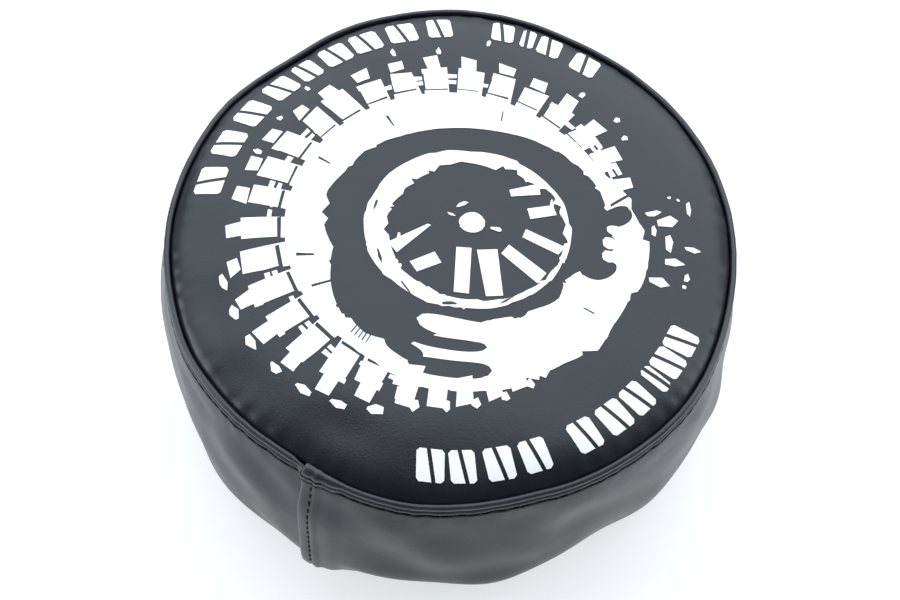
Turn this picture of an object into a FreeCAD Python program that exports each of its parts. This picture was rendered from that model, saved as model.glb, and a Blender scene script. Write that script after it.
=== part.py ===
"""Slip-on cover for the small spare tyre of a scale crawler, lying face up on its gathered back.

Sizes are in millimetres. +Z is up and the origin is on the floor, on the axis of the round cover.
"""
import FreeCAD, Part
import os
import re

import Sketcher
from FreeCAD import Vector

SIZES = {
    # leatherette shell
    "leather": 0.5,                # thickness of the leatherette
    "seam_radius": 54.8,           # where the face panel's turned edge meets the band's turned edge
    "fold_height": 46.5,           # top of the folded rib round the face
    "edge_height": 45.0,           # where the face starts to round over
    "crown_height": 50.5,          # middle of the face
    "corner_radius": 3.0,          # outer radius of the face's rounded rim
    "turned_edge": 4.5,            # depth of both seam allowances below the rib's top
    "rib_gap": 0.3,                # slack between the rib's two layers
    "wall_radius": 57.5,           # widest part of the wall
    "wall_middle": 25.0,           # height of the widest part
    "bulge_radius": 125.0,         # radius of the wall's soft bulge, seen from the side
    "wall_top": 43.0,              # where the bulge starts, just under the topstitching
    "roll_height": 7.0,            # where the wall starts to roll under the tyre
    # elastic hem
    "mouth_radius": 36.0,          # opening at the back with the elastic relaxed
    "casing_gap": 2.3,             # room for the elastic between the hem's two layers
    "casing_end": 43.2,            # radius where the hem's upper layer starts to close down
    "hem_edge": 46.2,              # radius of the hem's raw edge
    "dimple": 0.45,                # depth of the groove that the hem stitching pulls in
    "dimple_width": 0.6,           # half of the width of that groove's flat
    "layer_gap": 0.05,             # room between the hem's two layers at the stitching
    "elastic_radius": 37.8,        # inner edge of the flat elastic
    "elastic_width": 5.0,
    "elastic_thickness": 0.8,
    "elastic_angle": 60.0,         # azimuth where the elastic's overlap starts
    "elastic_lap": 18.0,           # degrees over which the elastic's ends overlap
    # stitching
    "thread": 0.28,                # thickness of the sewing thread
    "thread_slack": 0.03,          # room between the hem's upper layer and its lower thread
    "stitch_length": 2.0,
    "face_stitch_height": 44.6,
    "topstitch_height": 43.5,
    "hem_stitch_radius": 44.6,
    "lap_stitch_start": -7.0,      # lowest stitch of the side lap, in degrees round the wall's bulge
    "lap_stitch_sweep": 14.6,      # degrees of the bulge that the side lap's stitching covers
    "face_stitches": 138,
    "topstitches": 141,
    "hem_stitches": 112,
    "lap_stitches": 14,
    "tack_length": 3.6,            # bars that tack the elastic's lapped ends together
    "tack_bars": 7,
    "tack_sweep": 9.0,
    # side lap
    "lap_fold_angle": 244.7,       # azimuth of the folded edge of the band's upper end
    "lap_sweep": 5.6,              # width of the overlap, in degrees
    "lap_stitch_angle": 247.0,
    # printed film: a wheel seen a little from one side, and two rows of plain marks
    "film": 0.12,
    "film_reach": 51.8,            # outermost radius that a printed shape may reach
    "tyre_x": -1.0,                # centre of the printed tyre
    "tyre_y": 1.0,
    "lug_count": 26,
    "lug_inner": 32.2,
    "lug_outer": 37.8,
    "lug_width": 5.2,
    "lug_slope": 0.8,              # how far a lug's low outer corner falls short of its tip
    "lug_drop": 1.2,               # how far its high outer corner falls short of its tip
    "stud_length": 1.8,
    "slot_length": 3.0,            # length of the narrow bar beside a lug
    "stud_outer": 40.4,            # outer end of the small block beyond each lug
    "sidewall_radius": 31.6,
    "hole_x": 3.9,                 # oval hole in the printed sidewall
    "hole_y": 2.6,
    "hole_width": 57.2,
    "hole_depth": 43.2,
    "rim_x": 2.5,
    "rim_y": 1.0,
    "rim_width": 39.2,
    "rim_depth": 34.6,
    "rim_hole_x": 3.6,
    "rim_hole_y": 0.6,
    "rim_hole_width": 33.0,
    "rim_hole_depth": 29.2,
    "hub_x": 3.4,
    "hub_y": 2.5,
    "hub_radius": 2.2,
    "spoke_count": 8,
    "spoke_start": 150.0,          # azimuth of the first printed spoke
    "spoke_sweep": 252.0,
    "spoke_inner": 4.8,
    "spoke_outer": 12.0,
    "spoke_width": 3.0,
    "upper_inner": 45.6,           # inner and outer radius of the two rows of marks
    "upper_outer": 51.4,
    "lower_inner": 45.2,
    "lower_outer": 51.4,
}

FORMULAS = {
    # rib: the band's top edge folded over and turned down beside the face panel's edge
    "rib_outer": "seam_radius + 2 * leather + rib_gap",
    "fold_r": "seam_radius + leather + rib_gap / 2",
    "fold_outer": "leather + rib_gap / 2",
    "fold_inner": "rib_gap / 2",
    "fold_z": "fold_height - leather - rib_gap / 2",
    "turned_z": "fold_height - turned_edge",
    # face: a broad crown that rounds over into the turned edge
    "corner_r": "seam_radius - corner_radius",
    "face_rise": "crown_height - edge_height",
    "crown_radius": "(corner_r^2 / (face_rise - corner_radius) + corner_radius + face_rise) / 2",
    "crown_z": "crown_height - crown_radius",
    "crown_share": "crown_radius / (crown_radius - corner_radius)",
    "joint_r": "corner_r * crown_share",
    "joint_z": "crown_z + (edge_height - crown_z) * crown_share",
    "inner_share": "(crown_radius - leather) / (crown_radius - corner_radius)",
    "inner_joint_r": "corner_r * inner_share",
    "inner_joint_z": "crown_z + (edge_height - crown_z) * inner_share",
    # wall: one long bulge, then a smaller arc that rolls under to the floor
    "bulge_r": "wall_radius - bulge_radius",
    "wall_top_r": "bulge_r + sqrt(bulge_radius^2 - (wall_top - wall_middle)^2)",
    "inner_top_r": "bulge_r + sqrt((bulge_radius - leather)^2 - (wall_top - wall_middle)^2)",
    "lap_top_r": "bulge_r + sqrt((bulge_radius + leather)^2 - (wall_top - wall_middle)^2)",
    "roll_start_r": "bulge_r + sqrt(bulge_radius^2 - (wall_middle - roll_height)^2)",
    "roll_radius": "roll_height / (1 - (wall_middle - roll_height) / bulge_radius)",
    "roll_share": "roll_radius / bulge_radius",
    "roll_r": "roll_start_r - (roll_start_r - bulge_r) * roll_share",
    "skin_share": "leather / bulge_radius",
    "inner_roll_r": "roll_start_r - (roll_start_r - bulge_r) * skin_share",
    "inner_roll_z": "roll_height + (wall_middle - roll_height) * skin_share",
    "lap_roll_r": "roll_start_r + (roll_start_r - bulge_r) * skin_share",
    "lap_roll_z": "roll_height - (wall_middle - roll_height) * skin_share",
    # hem: flat on the floor, dimpled by its stitching, folded round the elastic
    "dimple_outer": "hem_stitch_radius + dimple_width",
    "dimple_inner": "hem_stitch_radius - dimple_width",
    "mouth_outer": "leather + casing_gap / 2",
    "mouth_inner": "casing_gap / 2",
    "mouth_r": "mouth_radius + mouth_outer",
    "layer_low": "leather + dimple + layer_gap",
    "layer_high": "layer_low + leather",
    "elastic_low": "leather + (casing_gap - 2 * elastic_thickness) / 2",
    "elastic_high": "elastic_low + 2 * elastic_thickness",
    # film: a skin on the crown
    "film_z": "crown_z + sqrt(crown_radius^2 - film_reach^2)",
    "film_top_z": "crown_z + sqrt((crown_radius + film)^2 - film_reach^2)",
}


def bound(text):
    """The text of a formula with every size and every named formula written out for the sheet."""
    def written_out(word):
        name = word.group()
        if name in FORMULAS:
            return "(" + bound(FORMULAS[name]) + ")"
        return "Sizes." + name if name in SIZES else name
    return re.sub(r"[a-z_]+", written_out, str(text))


def make_sheet(doc):
    sheet = doc.addObject("Spreadsheet::Sheet", "Sizes")
    for row, (alias, size) in enumerate(SIZES.items(), start=1):
        sheet.set(f"A{row}", alias)
        sheet.set(f"B{row}", str(size))
        sheet.setAlias(f"B{row}", alias)
    doc.recompute()
    return sheet


def number(text):
    """Present value of a formula."""
    found = sheet.evalExpression(bound(text))
    return float(getattr(found, "Value", found))


def new_body(label):
    body = doc.addObject("PartDesign::Body", label)
    body.Label = label
    body.AllowCompound = True
    return body


def new_sketch(body, role, x=0, y=0, z=0, turn=0):
    """A sketch on one of the body's own origin planes, moved and turned within that plane's axes."""
    plane = [item for item in body.Origin.OriginFeatures if item.Role == role][0]
    sketch = body.newObject("Sketcher::SketchObject", body.Name + "_sketch")
    sketch.AttachmentSupport = [(plane, "")]
    sketch.MapMode = "FlatFace"
    for axis, text in zip("xyz", (x, y, z)):
        sketch.setExpression("AttachmentOffset.Base." + axis, bound(text))
    sketch.setExpression("AttachmentOffset.Rotation.Angle", bound(turn))
    return sketch


def pin(sketch, kind, item, vertex, text):
    """Hold one coordinate of a vertex at a formula of the sheet."""
    index = sketch.addConstraint(Sketcher.Constraint(kind, -1, 1, item, vertex, number(text)))
    sketch.setExpression(f"Constraints[{index}]", bound(text))


def outline(sketch, path):
    """Closed outline. A step is (x, y) for a line to that point, or (x, y, centre x, centre y, turn)
    for an arc to it, where turn is +1 for an anticlockwise arc and -1 for a clockwise one."""
    corners = [Vector(number(step[0]), number(step[1]), 0) for step in path]
    ends = []
    for index, step in enumerate(path):
        start, end = corners[index - 1], corners[index]
        if len(step) == 2:
            item = sketch.addGeometry(Part.LineSegment(start, end))
            ends.append((item, 1, 2))
            continue
        centre = Vector(number(step[2]), number(step[3]), 0)
        circle = Part.Circle(centre, Vector(0, 0, 1), (end - centre).Length)
        first, last = (start, end) if step[4] > 0 else (end, start)
        arc = Part.ArcOfCircle(circle, circle.parameter(first), circle.parameter(last))
        item = sketch.addGeometry(arc)
        ends.append((item, 1, 2) if step[4] > 0 else (item, 2, 1))
        flat = abs(end.y - start.y) < abs(end.x - start.x)
        pin(sketch, "DistanceY" if flat else "DistanceX", item, 3, step[3] if flat else step[2])
    for index, step in enumerate(path):
        item, _, vertex = ends[index]
        following, start_vertex, _ = ends[(index + 1) % len(path)]
        sketch.addConstraint(Sketcher.Constraint("Coincident", item, vertex, following, start_vertex))
        pin(sketch, "DistanceX", item, vertex, step[0])
        pin(sketch, "DistanceY", item, vertex, step[1])


def circle(sketch, x, y, radius):
    item = sketch.addGeometry(Part.Circle(Vector(number(x), number(y), 0), Vector(0, 0, 1), number(radius)))
    pin(sketch, "DistanceX", item, 3, x)
    pin(sketch, "DistanceY", item, 3, y)
    index = sketch.addConstraint(Sketcher.Constraint("Radius", item, number(radius)))
    sketch.setExpression(f"Constraints[{index}]", bound(radius))


def revolve(body, sketch, axis="V_Axis", angle="360"):
    turned = body.newObject("PartDesign::Revolution", body.Name + "_turned")
    turned.Profile = sketch
    turned.ReferenceAxis = (sketch, [axis])
    turned.setExpression("Angle", bound(angle))
    return turned


def repeat(body, features, axis, count, sweep="360"):
    """Polar pattern of the body's features about an axis of a sketch or of the body's origin."""
    pattern = body.newObject("PartDesign::PolarPattern", body.Name + "_row")
    pattern.Originals = features
    pattern.Axis = axis
    pattern.setExpression("Angle", bound(sweep))
    pattern.setExpression("Occurrences", bound(count))
    body.Tip = pattern
    return pattern


def upright_axis(body):
    return [item for item in body.Origin.OriginFeatures if item.Role == "Z_Axis"][0], [""]


# ---------------------------------------------------------------- leatherette shell

def make_face_panel():
    body = new_body("face_panel")
    sketch = new_sketch(body, "XZ_Plane")
    outline(sketch, [
        ("seam_radius - leather", "turned_z"),
        ("seam_radius", "turned_z"),
        ("seam_radius", "edge_height"),
        ("joint_r", "joint_z", "corner_r", "edge_height", 1),
        ("0", "crown_height", "0", "crown_z", 1),
        ("0", "crown_height - leather"),
        ("inner_joint_r", "inner_joint_z", "0", "crown_z", -1),
        ("seam_radius - leather", "edge_height", "corner_r", "edge_height", -1),
    ])
    revolve(body, sketch)
    return body


def make_side_band():
    """One strip: turned edge, folded rib, bulging wall, roll-under, hem folded round the elastic.
    The body is turned so that its section stands at the folded edge of the side lap."""
    body = new_body("side_band")
    sketch = new_sketch(body, "XZ_Plane")
    outline(sketch, [
        ("seam_radius", "turned_z"),
        ("seam_radius + leather", "turned_z"),
        ("seam_radius + leather", "fold_z"),
        ("seam_radius + leather + rib_gap", "fold_z", "fold_r", "fold_z", -1),
        ("seam_radius + leather + rib_gap", "wall_top + leather"),
        ("inner_top_r", "wall_top"),
        ("inner_roll_r", "inner_roll_z", "bulge_r", "wall_middle", -1),
        ("roll_r", "leather", "roll_r", "roll_radius", -1),
        ("dimple_outer + leather", "leather"),
        ("dimple_outer", "leather + dimple"),
        ("dimple_inner", "leather + dimple"),
        ("dimple_inner - leather", "leather"),
        ("mouth_r", "leather"),
        ("mouth_r", "leather + casing_gap", "mouth_r", "mouth_outer", -1),
        ("casing_end - leather", "leather + casing_gap"),
        ("dimple_inner - leather / 2", "layer_low + leather / 4"),
        ("hem_edge", "layer_low"),
        ("hem_edge", "layer_high"),
        ("dimple_inner - leather / 4", "layer_high + leather / 4"),
        ("casing_end", "2 * leather + casing_gap"),
        ("mouth_r", "2 * leather + casing_gap"),
        ("mouth_r", "0", "mouth_r", "mouth_outer", 1),
        ("dimple_inner - leather", "0"),
        ("dimple_inner", "dimple"),
        ("dimple_outer", "dimple"),
        ("dimple_outer + leather", "0"),
        ("roll_r", "0"),
        ("roll_start_r", "roll_height", "roll_r", "roll_radius", 1),
        ("wall_top_r", "wall_top", "bulge_r", "wall_middle", 1),
        ("rib_outer", "wall_top + leather"),
        ("rib_outer", "fold_z"),
        ("seam_radius", "fold_z", "fold_r", "fold_z", 1),
    ])
    revolve(body, sketch)
    add_side_lap(body)
    body.setExpression("Placement.Rotation.Angle", bound("lap_fold_angle"))
    return body


def add_side_lap(body):
    """Upper end of the strip, one layer proud of the wall and of the rib, over the lower end."""
    sketch = new_sketch(body, "XZ_Plane")
    outline(sketch, [
        ("fold_r", "fold_height - leather / 2"),
        ("rib_outer - leather / 2", "fold_z", "fold_r", "fold_z", -1),
        ("rib_outer - leather / 2", "wall_top + leather"),
        ("wall_top_r - leather / 2", "wall_top"),
        ("wall_radius - leather / 2", "wall_middle"),
        ("roll_start_r - leather / 2", "roll_height"),
        ("lap_roll_r", "lap_roll_z"),
        ("lap_top_r", "wall_top", "bulge_r", "wall_middle", 1),
        ("rib_outer + leather", "wall_top + leather"),
        ("rib_outer + leather", "fold_z"),
        ("fold_r", "fold_height + leather", "fold_r", "fold_z", 1),
    ])
    revolve(body, sketch, angle="lap_sweep")


# ---------------------------------------------------------------- elastic

def rectangle(sketch, x_low, x_high, y_low, y_high):
    outline(sketch, [(x_low, y_low), (x_high, y_low), (x_high, y_high), (x_low, y_high)])


def make_elastic_band():
    """Flat elastic in the hem, a closed ring whose ends lie one over the other."""
    body = new_body("elastic_band")
    body.setExpression("Placement.Rotation.Angle", bound("elastic_angle"))
    outer = "elastic_radius + elastic_width"
    ring = new_sketch(body, "XZ_Plane")
    rectangle(ring, "elastic_radius", outer, "elastic_low", "elastic_low + elastic_thickness")
    revolve(body, ring)
    lap = new_sketch(body, "XZ_Plane")
    rectangle(lap, "elastic_radius", outer, "elastic_low + elastic_thickness / 2", "elastic_high")
    revolve(body, lap, angle="elastic_lap")
    return body


# ---------------------------------------------------------------- stitching

def spindle(sketch, x, y, length, along):
    """Half outline of one stitch, pointed at both ends where it dives into the leatherette, with
    its axis as the first line."""
    def at(step, side):
        forward, across = f"{step} * ({length})", f"{side} * thread / 2"
        if along == "y":
            return f"{x} + {across}", f"{y} + {forward}"
        return f"{x} + {forward}", f"{y} + {across}"
    outline(sketch, [at(0.5, 0), at(0.38, 1), at(-0.38, 1), at(-0.5, 0)][::1 if along == "y" else -1])


def make_stitch_ring(label, radius, height, count):
    """Stitches end to end round the upright axis."""
    body = new_body(label)
    sketch = new_sketch(body, "XY_Plane", z=height)
    spindle(sketch, radius, "0", "stitch_length", "y")
    stitch = revolve(body, sketch, axis="Edge1")
    repeat(body, [stitch], upright_axis(body), count)
    return body


def make_lap_row(label, radius):
    """Stitches down the bulge of the wall: an arc about the centre of that bulge."""
    body = new_body(label)
    body.setExpression("Placement.Rotation.Angle", bound("lap_stitch_angle"))
    sketch = new_sketch(body, "XZ_Plane", x="bulge_r", y="wall_middle", turn="lap_stitch_start")
    spindle(sketch, radius, "0", "stitch_length", "y")
    stitch = revolve(body, sketch, axis="Edge1")
    repeat(body, [stitch], (sketch, ["N_Axis"]), "lap_stitches", "lap_stitch_sweep")
    return body


def make_elastic_bar_tack():
    """Rows of bars over and under the elastic's lapped ends."""
    body = new_body("elastic_bar_tack")
    margin = "(elastic_lap - tack_sweep) / 2"
    body.setExpression("Placement.Rotation.Angle", bound("elastic_angle + " + margin))
    bars = []
    for height in ("elastic_high + thread / 2", "elastic_low - thread / 2"):
        sketch = new_sketch(body, "XY_Plane", z=height)
        spindle(sketch, "elastic_radius + elastic_width / 2", "0", "tack_length", "x")
        bars.append(revolve(body, sketch, axis="Edge1"))
    repeat(body, bars, upright_axis(body), "tack_bars", "tack_sweep")
    return body


def make_threads():
    """Needle thread on one face of each seam and bobbin thread on the other."""
    inside_turned_edge = "seam_radius - leather - thread / 2"
    return [
        make_stitch_ring("face_seam_needle_thread", inside_turned_edge, "face_stitch_height", "face_stitches"),
        make_stitch_ring("face_seam_bobbin_thread", "fold_r", "face_stitch_height", "face_stitches"),
        make_stitch_ring("topstitch_needle_thread", "rib_outer + thread / 2", "topstitch_height", "topstitches"),
        make_stitch_ring("topstitch_bobbin_thread", inside_turned_edge, "topstitch_height", "topstitches"),
        make_stitch_ring("hem_needle_thread", "hem_stitch_radius", "dimple - thread / 2", "hem_stitches"),
        make_stitch_ring("hem_bobbin_thread", "hem_stitch_radius", "layer_high + thread / 2 + thread_slack", "hem_stitches"),
        make_lap_row("lap_needle_thread", "bulge_radius + leather + thread / 2"),
        make_lap_row("lap_bobbin_thread", "bulge_radius - leather - thread / 2"),
        make_elastic_bar_tack(),
    ]


# ---------------------------------------------------------------- printed film

def make_film_blank():
    """Skin on the crown that every printed shape is cut from."""
    body = new_body("film_blank")
    sketch = new_sketch(body, "XZ_Plane")
    outline(sketch, [
        ("film_reach", "film_z", "0", "crown_z", -1),
        ("film_reach", "film_top_z"),
        ("0", "crown_height + film", "0", "crown_z", 1),
        ("0", "crown_height"),
    ])
    revolve(body, sketch)
    return body


def pad(body, sketch):
    """Cutter that stands right through the crown."""
    block = body.newObject("PartDesign::Pad", body.Name + "_pad")
    block.Profile = sketch
    block.setExpression("Length", bound("2 * face_rise"))
    return block


def art_sketch(body, turn=0):
    return new_sketch(body, "XY_Plane", z="edge_height", turn=turn)


def make_tread_lugs():
    """Ring of tread blocks, each with a small block beyond it and a bar beside it."""
    body = new_body("tread_lugs_cutter")
    body.setExpression("Placement.Base.x", bound("tyre_x"))
    body.setExpression("Placement.Base.y", bound("tyre_y"))
    sketch = art_sketch(body)
    outline(sketch, [
        ("lug_inner", "-lug_width / 2"),
        ("lug_outer - lug_slope", "-lug_width * 0.42"),
        ("lug_outer", "lug_width * 0.1"),
        ("lug_outer - lug_drop", "lug_width / 2"),
        ("lug_inner", "lug_width * 0.46"),
    ])
    rectangle(sketch, "stud_outer - stud_length", "stud_outer", "-lug_width * 0.22", "lug_width * 0.26")
    rectangle(sketch, "lug_inner", "lug_inner + slot_length", "lug_width * 0.6", "lug_width * 0.8")
    repeat(body, [pad(body, sketch)], upright_axis(body), "lug_count")
    return body


def make_sidewall():
    body = new_body("sidewall_cutter")
    sketch = art_sketch(body)
    circle(sketch, "tyre_x", "tyre_y", "sidewall_radius")
    pad(body, sketch)
    hole = art_sketch(body)
    oval(hole, "hole_x", "hole_y", "hole_width", "hole_depth")
    cut_through(body, hole)
    return body


def make_rim():
    body = new_body("rim_cutter")
    sketch = art_sketch(body)
    oval(sketch, "rim_x", "rim_y", "rim_width", "rim_depth")
    oval(sketch, "rim_hole_x", "rim_hole_y", "rim_hole_width", "rim_hole_depth")
    pad(body, sketch)
    return body


def oval(sketch, x, y, width, depth):
    """Ellipse with its long axis along X."""
    centre = Vector(number(x), number(y), 0)
    half_width, half_depth = Vector(number(width) / 2, 0, 0), Vector(0, number(depth) / 2, 0)
    item = sketch.addGeometry(Part.Ellipse(centre + half_width, centre + half_depth, centre))
    sketch.exposeInternalGeometry(item)
    sketch.addConstraint(Sketcher.Constraint("Horizontal", item + 1))
    pin(sketch, "DistanceX", item, 3, x)
    pin(sketch, "DistanceY", item, 3, y)
    for axis_line, text in ((item + 1, width), (item + 2, depth)):
        index = sketch.addConstraint(Sketcher.Constraint("Distance", axis_line, number(text)))
        sketch.setExpression(f"Constraints[{index}]", bound(text))


def cut_through(body, sketch):
    hole = body.newObject("PartDesign::Pocket", body.Name + "_hole")
    hole.Profile = sketch
    hole.Reversed = True
    hole.setExpression("Length", bound("3 * face_rise"))


def make_spokes():
    body = new_body("spokes_cutter")
    body.setExpression("Placement.Base.x", bound("hub_x"))
    body.setExpression("Placement.Base.y", bound("hub_y"))
    sketch = art_sketch(body, turn="spoke_start")
    outline(sketch, [
        ("spoke_inner", "-spoke_width * 0.2"),
        ("spoke_outer", "-spoke_width / 2"),
        ("spoke_outer", "spoke_width / 2"),
        ("spoke_inner", "spoke_width * 0.2"),
    ])
    repeat(body, [pad(body, sketch)], upright_axis(body), "spoke_count", "spoke_sweep")
    return body


def make_hub():
    body = new_body("hub_cutter")
    sketch = art_sketch(body)
    circle(sketch, "hub_x", "hub_y", "hub_radius")
    pad(body, sketch)
    return body


def make_marks(label, inner, outer, groups):
    """Row of plain blocks, each split by a slanting gap. A group is its first azimuth, its sweep,
    its number of blocks and their width."""
    body = new_body(label)
    for start, sweep, count, width in groups:
        sketch = art_sketch(body, turn=start)
        outline(sketch, [
            (inner, f"-0.5 * {width}"),
            (outer, f"-0.5 * {width}"),
            (outer, f"0.12 * {width}"),
            (inner, f"-0.22 * {width}"),
        ])
        outline(sketch, [
            (inner, f"0.02 * {width}"),
            (outer, f"0.36 * {width}"),
            (outer, f"0.5 * {width}"),
            (inner, f"0.5 * {width}"),
        ])
        repeat(body, [pad(body, sketch)], upright_axis(body), count, sweep)
    return body


def make_print():
    blank = make_film_blank()
    cutters = {
        "print_tread_lugs": make_tread_lugs(),
        "print_sidewall": make_sidewall(),
        "print_rim": make_rim(),
        "print_spokes": make_spokes(),
        "print_hub": make_hub(),
        "print_upper_marks": make_marks("upper_marks_cutter", "upper_inner", "upper_outer",
                                        [("61", "22", "4", "5.0"), ("97", "73", "9", "6.2")]),
        "print_lower_marks": make_marks("lower_marks_cutter", "lower_inner", "lower_outer",
                                        [("269", "23", "4", "5.2"), ("304", "33", "6", "4.6")]),
    }
    films = []
    for label, cutter in cutters.items():
        film = doc.addObject("Part::Common", label)
        film.Base = cutter
        film.Tool = blank
        film.Label = label
        films.append(film)
    return films


def check_document():
    """Stop before anything is written if an object failed."""
    for item in doc.Objects:
        if "Invalid" in item.State or "Error" in item.State:
            raise RuntimeError(f"{item.Label} failed: {item.State}")


def write(sub_part):
    shape = sub_part.Shape
    if shape.isNull() or not shape.isValid() or not shape.Solids:
        raise RuntimeError(f"{sub_part.Label} has no valid solid")
    shape.exportStep(f"parts/{sub_part.Label}.step")
    print(f"{sub_part.Label}: {len(shape.Solids)} solid(s), {shape.Volume:.1f} mm3")


os.makedirs("parts", exist_ok=True)
doc = FreeCAD.newDocument("spare_tyre_cover")
sheet = make_sheet(doc)
sub_parts = [make_face_panel(), make_side_band(), make_elastic_band()] + make_threads() + make_print()
doc.recompute()
check_document()
for sub_part in sub_parts:
    write(sub_part)
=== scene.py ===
"""Spare tyre cover for a scale crawler: leatherette shell, sewn seams, printed face and studio."""
import math

import bmesh
import bpy
import numpy as np
from mathutils import Matrix, Vector
from mathutils.geometry import delaunay_2d_cdt


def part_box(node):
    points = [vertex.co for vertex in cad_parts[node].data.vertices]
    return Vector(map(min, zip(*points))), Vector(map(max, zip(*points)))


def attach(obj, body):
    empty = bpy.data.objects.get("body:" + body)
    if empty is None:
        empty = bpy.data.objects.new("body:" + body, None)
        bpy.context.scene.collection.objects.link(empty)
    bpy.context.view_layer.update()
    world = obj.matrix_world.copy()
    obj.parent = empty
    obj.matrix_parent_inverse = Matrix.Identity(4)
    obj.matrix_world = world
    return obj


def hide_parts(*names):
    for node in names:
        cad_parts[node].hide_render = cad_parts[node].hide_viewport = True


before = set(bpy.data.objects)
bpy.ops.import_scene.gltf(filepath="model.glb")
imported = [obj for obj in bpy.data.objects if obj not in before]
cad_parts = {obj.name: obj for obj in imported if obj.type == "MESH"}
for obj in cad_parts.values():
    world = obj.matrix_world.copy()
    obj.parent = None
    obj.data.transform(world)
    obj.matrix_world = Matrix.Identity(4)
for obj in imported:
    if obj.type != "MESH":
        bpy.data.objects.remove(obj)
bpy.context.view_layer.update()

bl_info = {
    "name": "Spare Tyre Cover",
    "version": (1, 0, 0),
    "blender": (4, 5, 0),
    "location": "View3D > Sidebar > Tyre Cover",
    "description": "Builds a sewn spare tyre cover around its packed frame",
    "category": "Add Mesh",
}

MM = 0.001
BODY = "root"

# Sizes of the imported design, in millimetres. Shapes are worked out in millimetres as well and
# become metres when a mesh is made.
FACE_LOW, FACE_HIGH = (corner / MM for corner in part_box("face_panel"))
BAND_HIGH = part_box("side_band")[1] / MM
ELASTIC_LOW, ELASTIC_HIGH = (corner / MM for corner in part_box("elastic_band"))
LAP_LOW, LAP_HIGH = (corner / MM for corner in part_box("lap_needle_thread"))
HEM_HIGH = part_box("hem_bobbin_thread")[1] / MM
TOP_LOW, TOP_HIGH = (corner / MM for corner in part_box("topstitch_needle_thread"))
GROOVE_LOW, GROOVE_HIGH = (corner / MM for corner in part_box("face_seam_bobbin_thread"))

LEATHER = 0.5  # leatherette
LAYER_GAP = 0.03  # air between two layers of it
THREAD = TOP_HIGH.z - TOP_LOW.z
SEAM_RADIUS = FACE_HIGH.x  # where face and rib meet
TURNED_Z = FACE_LOW.z  # lower edge of the seam allowances
CROWN_Z = FACE_HIGH.z
FOLD_Z = BAND_HIGH.z - LEATHER  # top of the rib beside the lap
RIB_RADIUS = TOP_HIGH.x - THREAD
FOLD_RADIUS = (RIB_RADIUS - SEAM_RADIUS) / 2
WALL_RADIUS = BAND_HIGH.x
TOPSTITCH_Z = (TOP_LOW.z + TOP_HIGH.z) / 2
FACE_STITCH_Z = (GROOVE_LOW.z + GROOVE_HIGH.z) / 2
HEM_STITCH_RADIUS = HEM_HIGH.x - THREAD / 2
CASING_HEIGHT = ELASTIC_HIGH.z + ELASTIC_LOW.z  # from the floor to the top of the hem
ELASTIC_WIDTH = 5.0
ELASTIC_START, ELASTIC_OVERLAP = 60.0, 18.0  # azimuth of its first end, degrees its ends lap
MOUTH_RADIUS = ELASTIC_HIGH.x - ELASTIC_WIDTH - 1.8  # inner edge of the hem's fold
LAP_ANGLE = math.degrees(math.atan2(LAP_LOW.y + LAP_HIGH.y, LAP_LOW.x + LAP_HIGH.x)) % 360
LAP_MARGIN = 2.25  # from the lap's folded edge to its stitching
LAP_REF = WALL_RADIUS - 0.5  # radius at which lengths along the strip are taken
LAP_TURN = 2 * math.pi * LAP_REF  # once round the cover
LAP_FOLD = (LEATHER + LAYER_GAP) / 2 + 0.25  # outer radius of the lap's folded edge
LAP_PROUD = 0.02  # from the wall's plain shape to the folded edge
LAP_DEPTH = LAP_PROUD + 2 * LAP_FOLD  # height of the folded edge
UNDERLAP = 5.6  # how far the under end runs below the upper one
FLAP = 3.2  # length of the turned-under flap
GROOVE_Z = 45.3  # bottom of the groove beside the face
BARREL = 250  # divides the squared height by which the wall bulges

# How the sewn shell departs from a true round, in the radius of seam and wall and in the height of
# the seam: azimuth and half width in degrees, height.
SEAM_WAVE = (
    (264, 10, 0.5), (288, 9, -0.5), (240, 10, -0.6), (210, 8, 0.4), (326, 13, 0.5), (352, 15, -0.35),
    (30, 16, 0.3), (132, 11, -1.2), (165, 12, -0.25), (90, 16, 0.6), (66, 10, -0.3),
)
SEAM_SAG = ((268, 26, -0.5), (205, 16, -0.5), (330, 14, 0.3), (100, 40, 0.5), (140, 12, -0.4))
WALL_WAVE = (
    (306, 13, -1.9), (250, 9, 0.8), (222, 10, 0.1), (205, 8, -0.5), (173, 14, 0.7), (132, 12, -1.0),
    (92, 18, 0.5), (60, 12, -0.5), (20, 14, 0.5), (340, 10, 0.5),
)
# Dents of the face: azimuth and half width in degrees, place and half width as shares of the
# seam radius, depth.
FACE_DENTS = (
    (203, 9, 0.90, 0.10, 0.95), (222, 9, 0.93, 0.09, 0.7), (187, 7, 0.88, 0.09, 0.5),
    (268, 34, 0.90, 0.15, 0.65), (248, 8, 0.84, 0.08, 0.35), (300, 12, 0.90, 0.09, -0.30),
    (345, 14, 0.90, 0.10, 0.45), (132, 12, 0.90, 0.12, 0.45), (60, 14, 0.92, 0.10, 0.25),
    (240, 10, 0.80, 0.10, -0.2),
)


# ---------------- shape of the cover

def away(angle, azimuth):
    """Degrees from an azimuth, between -180 and 180."""
    return (np.degrees(angle) - azimuth + 180) % 360 - 180


def bumps(angle, table):
    """Sum of soft bumps round the cover."""
    total = np.zeros_like(angle, float)
    for azimuth, width, height in table:
        total = total + height * np.exp(-(away(angle, azimuth) / width) ** 2)
    return total


def ripple(angle, waves, seed):
    """Uneven waves round the cover, about 1 high, with these numbers of waves in a turn."""
    rng = np.random.default_rng(seed)
    total = np.zeros_like(angle, float)
    for count in waves:
        total = total + rng.uniform(0.5, 1.2) * np.cos(count * angle + rng.uniform(0, 2 * math.pi))
    return total / math.sqrt(len(waves))


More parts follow.
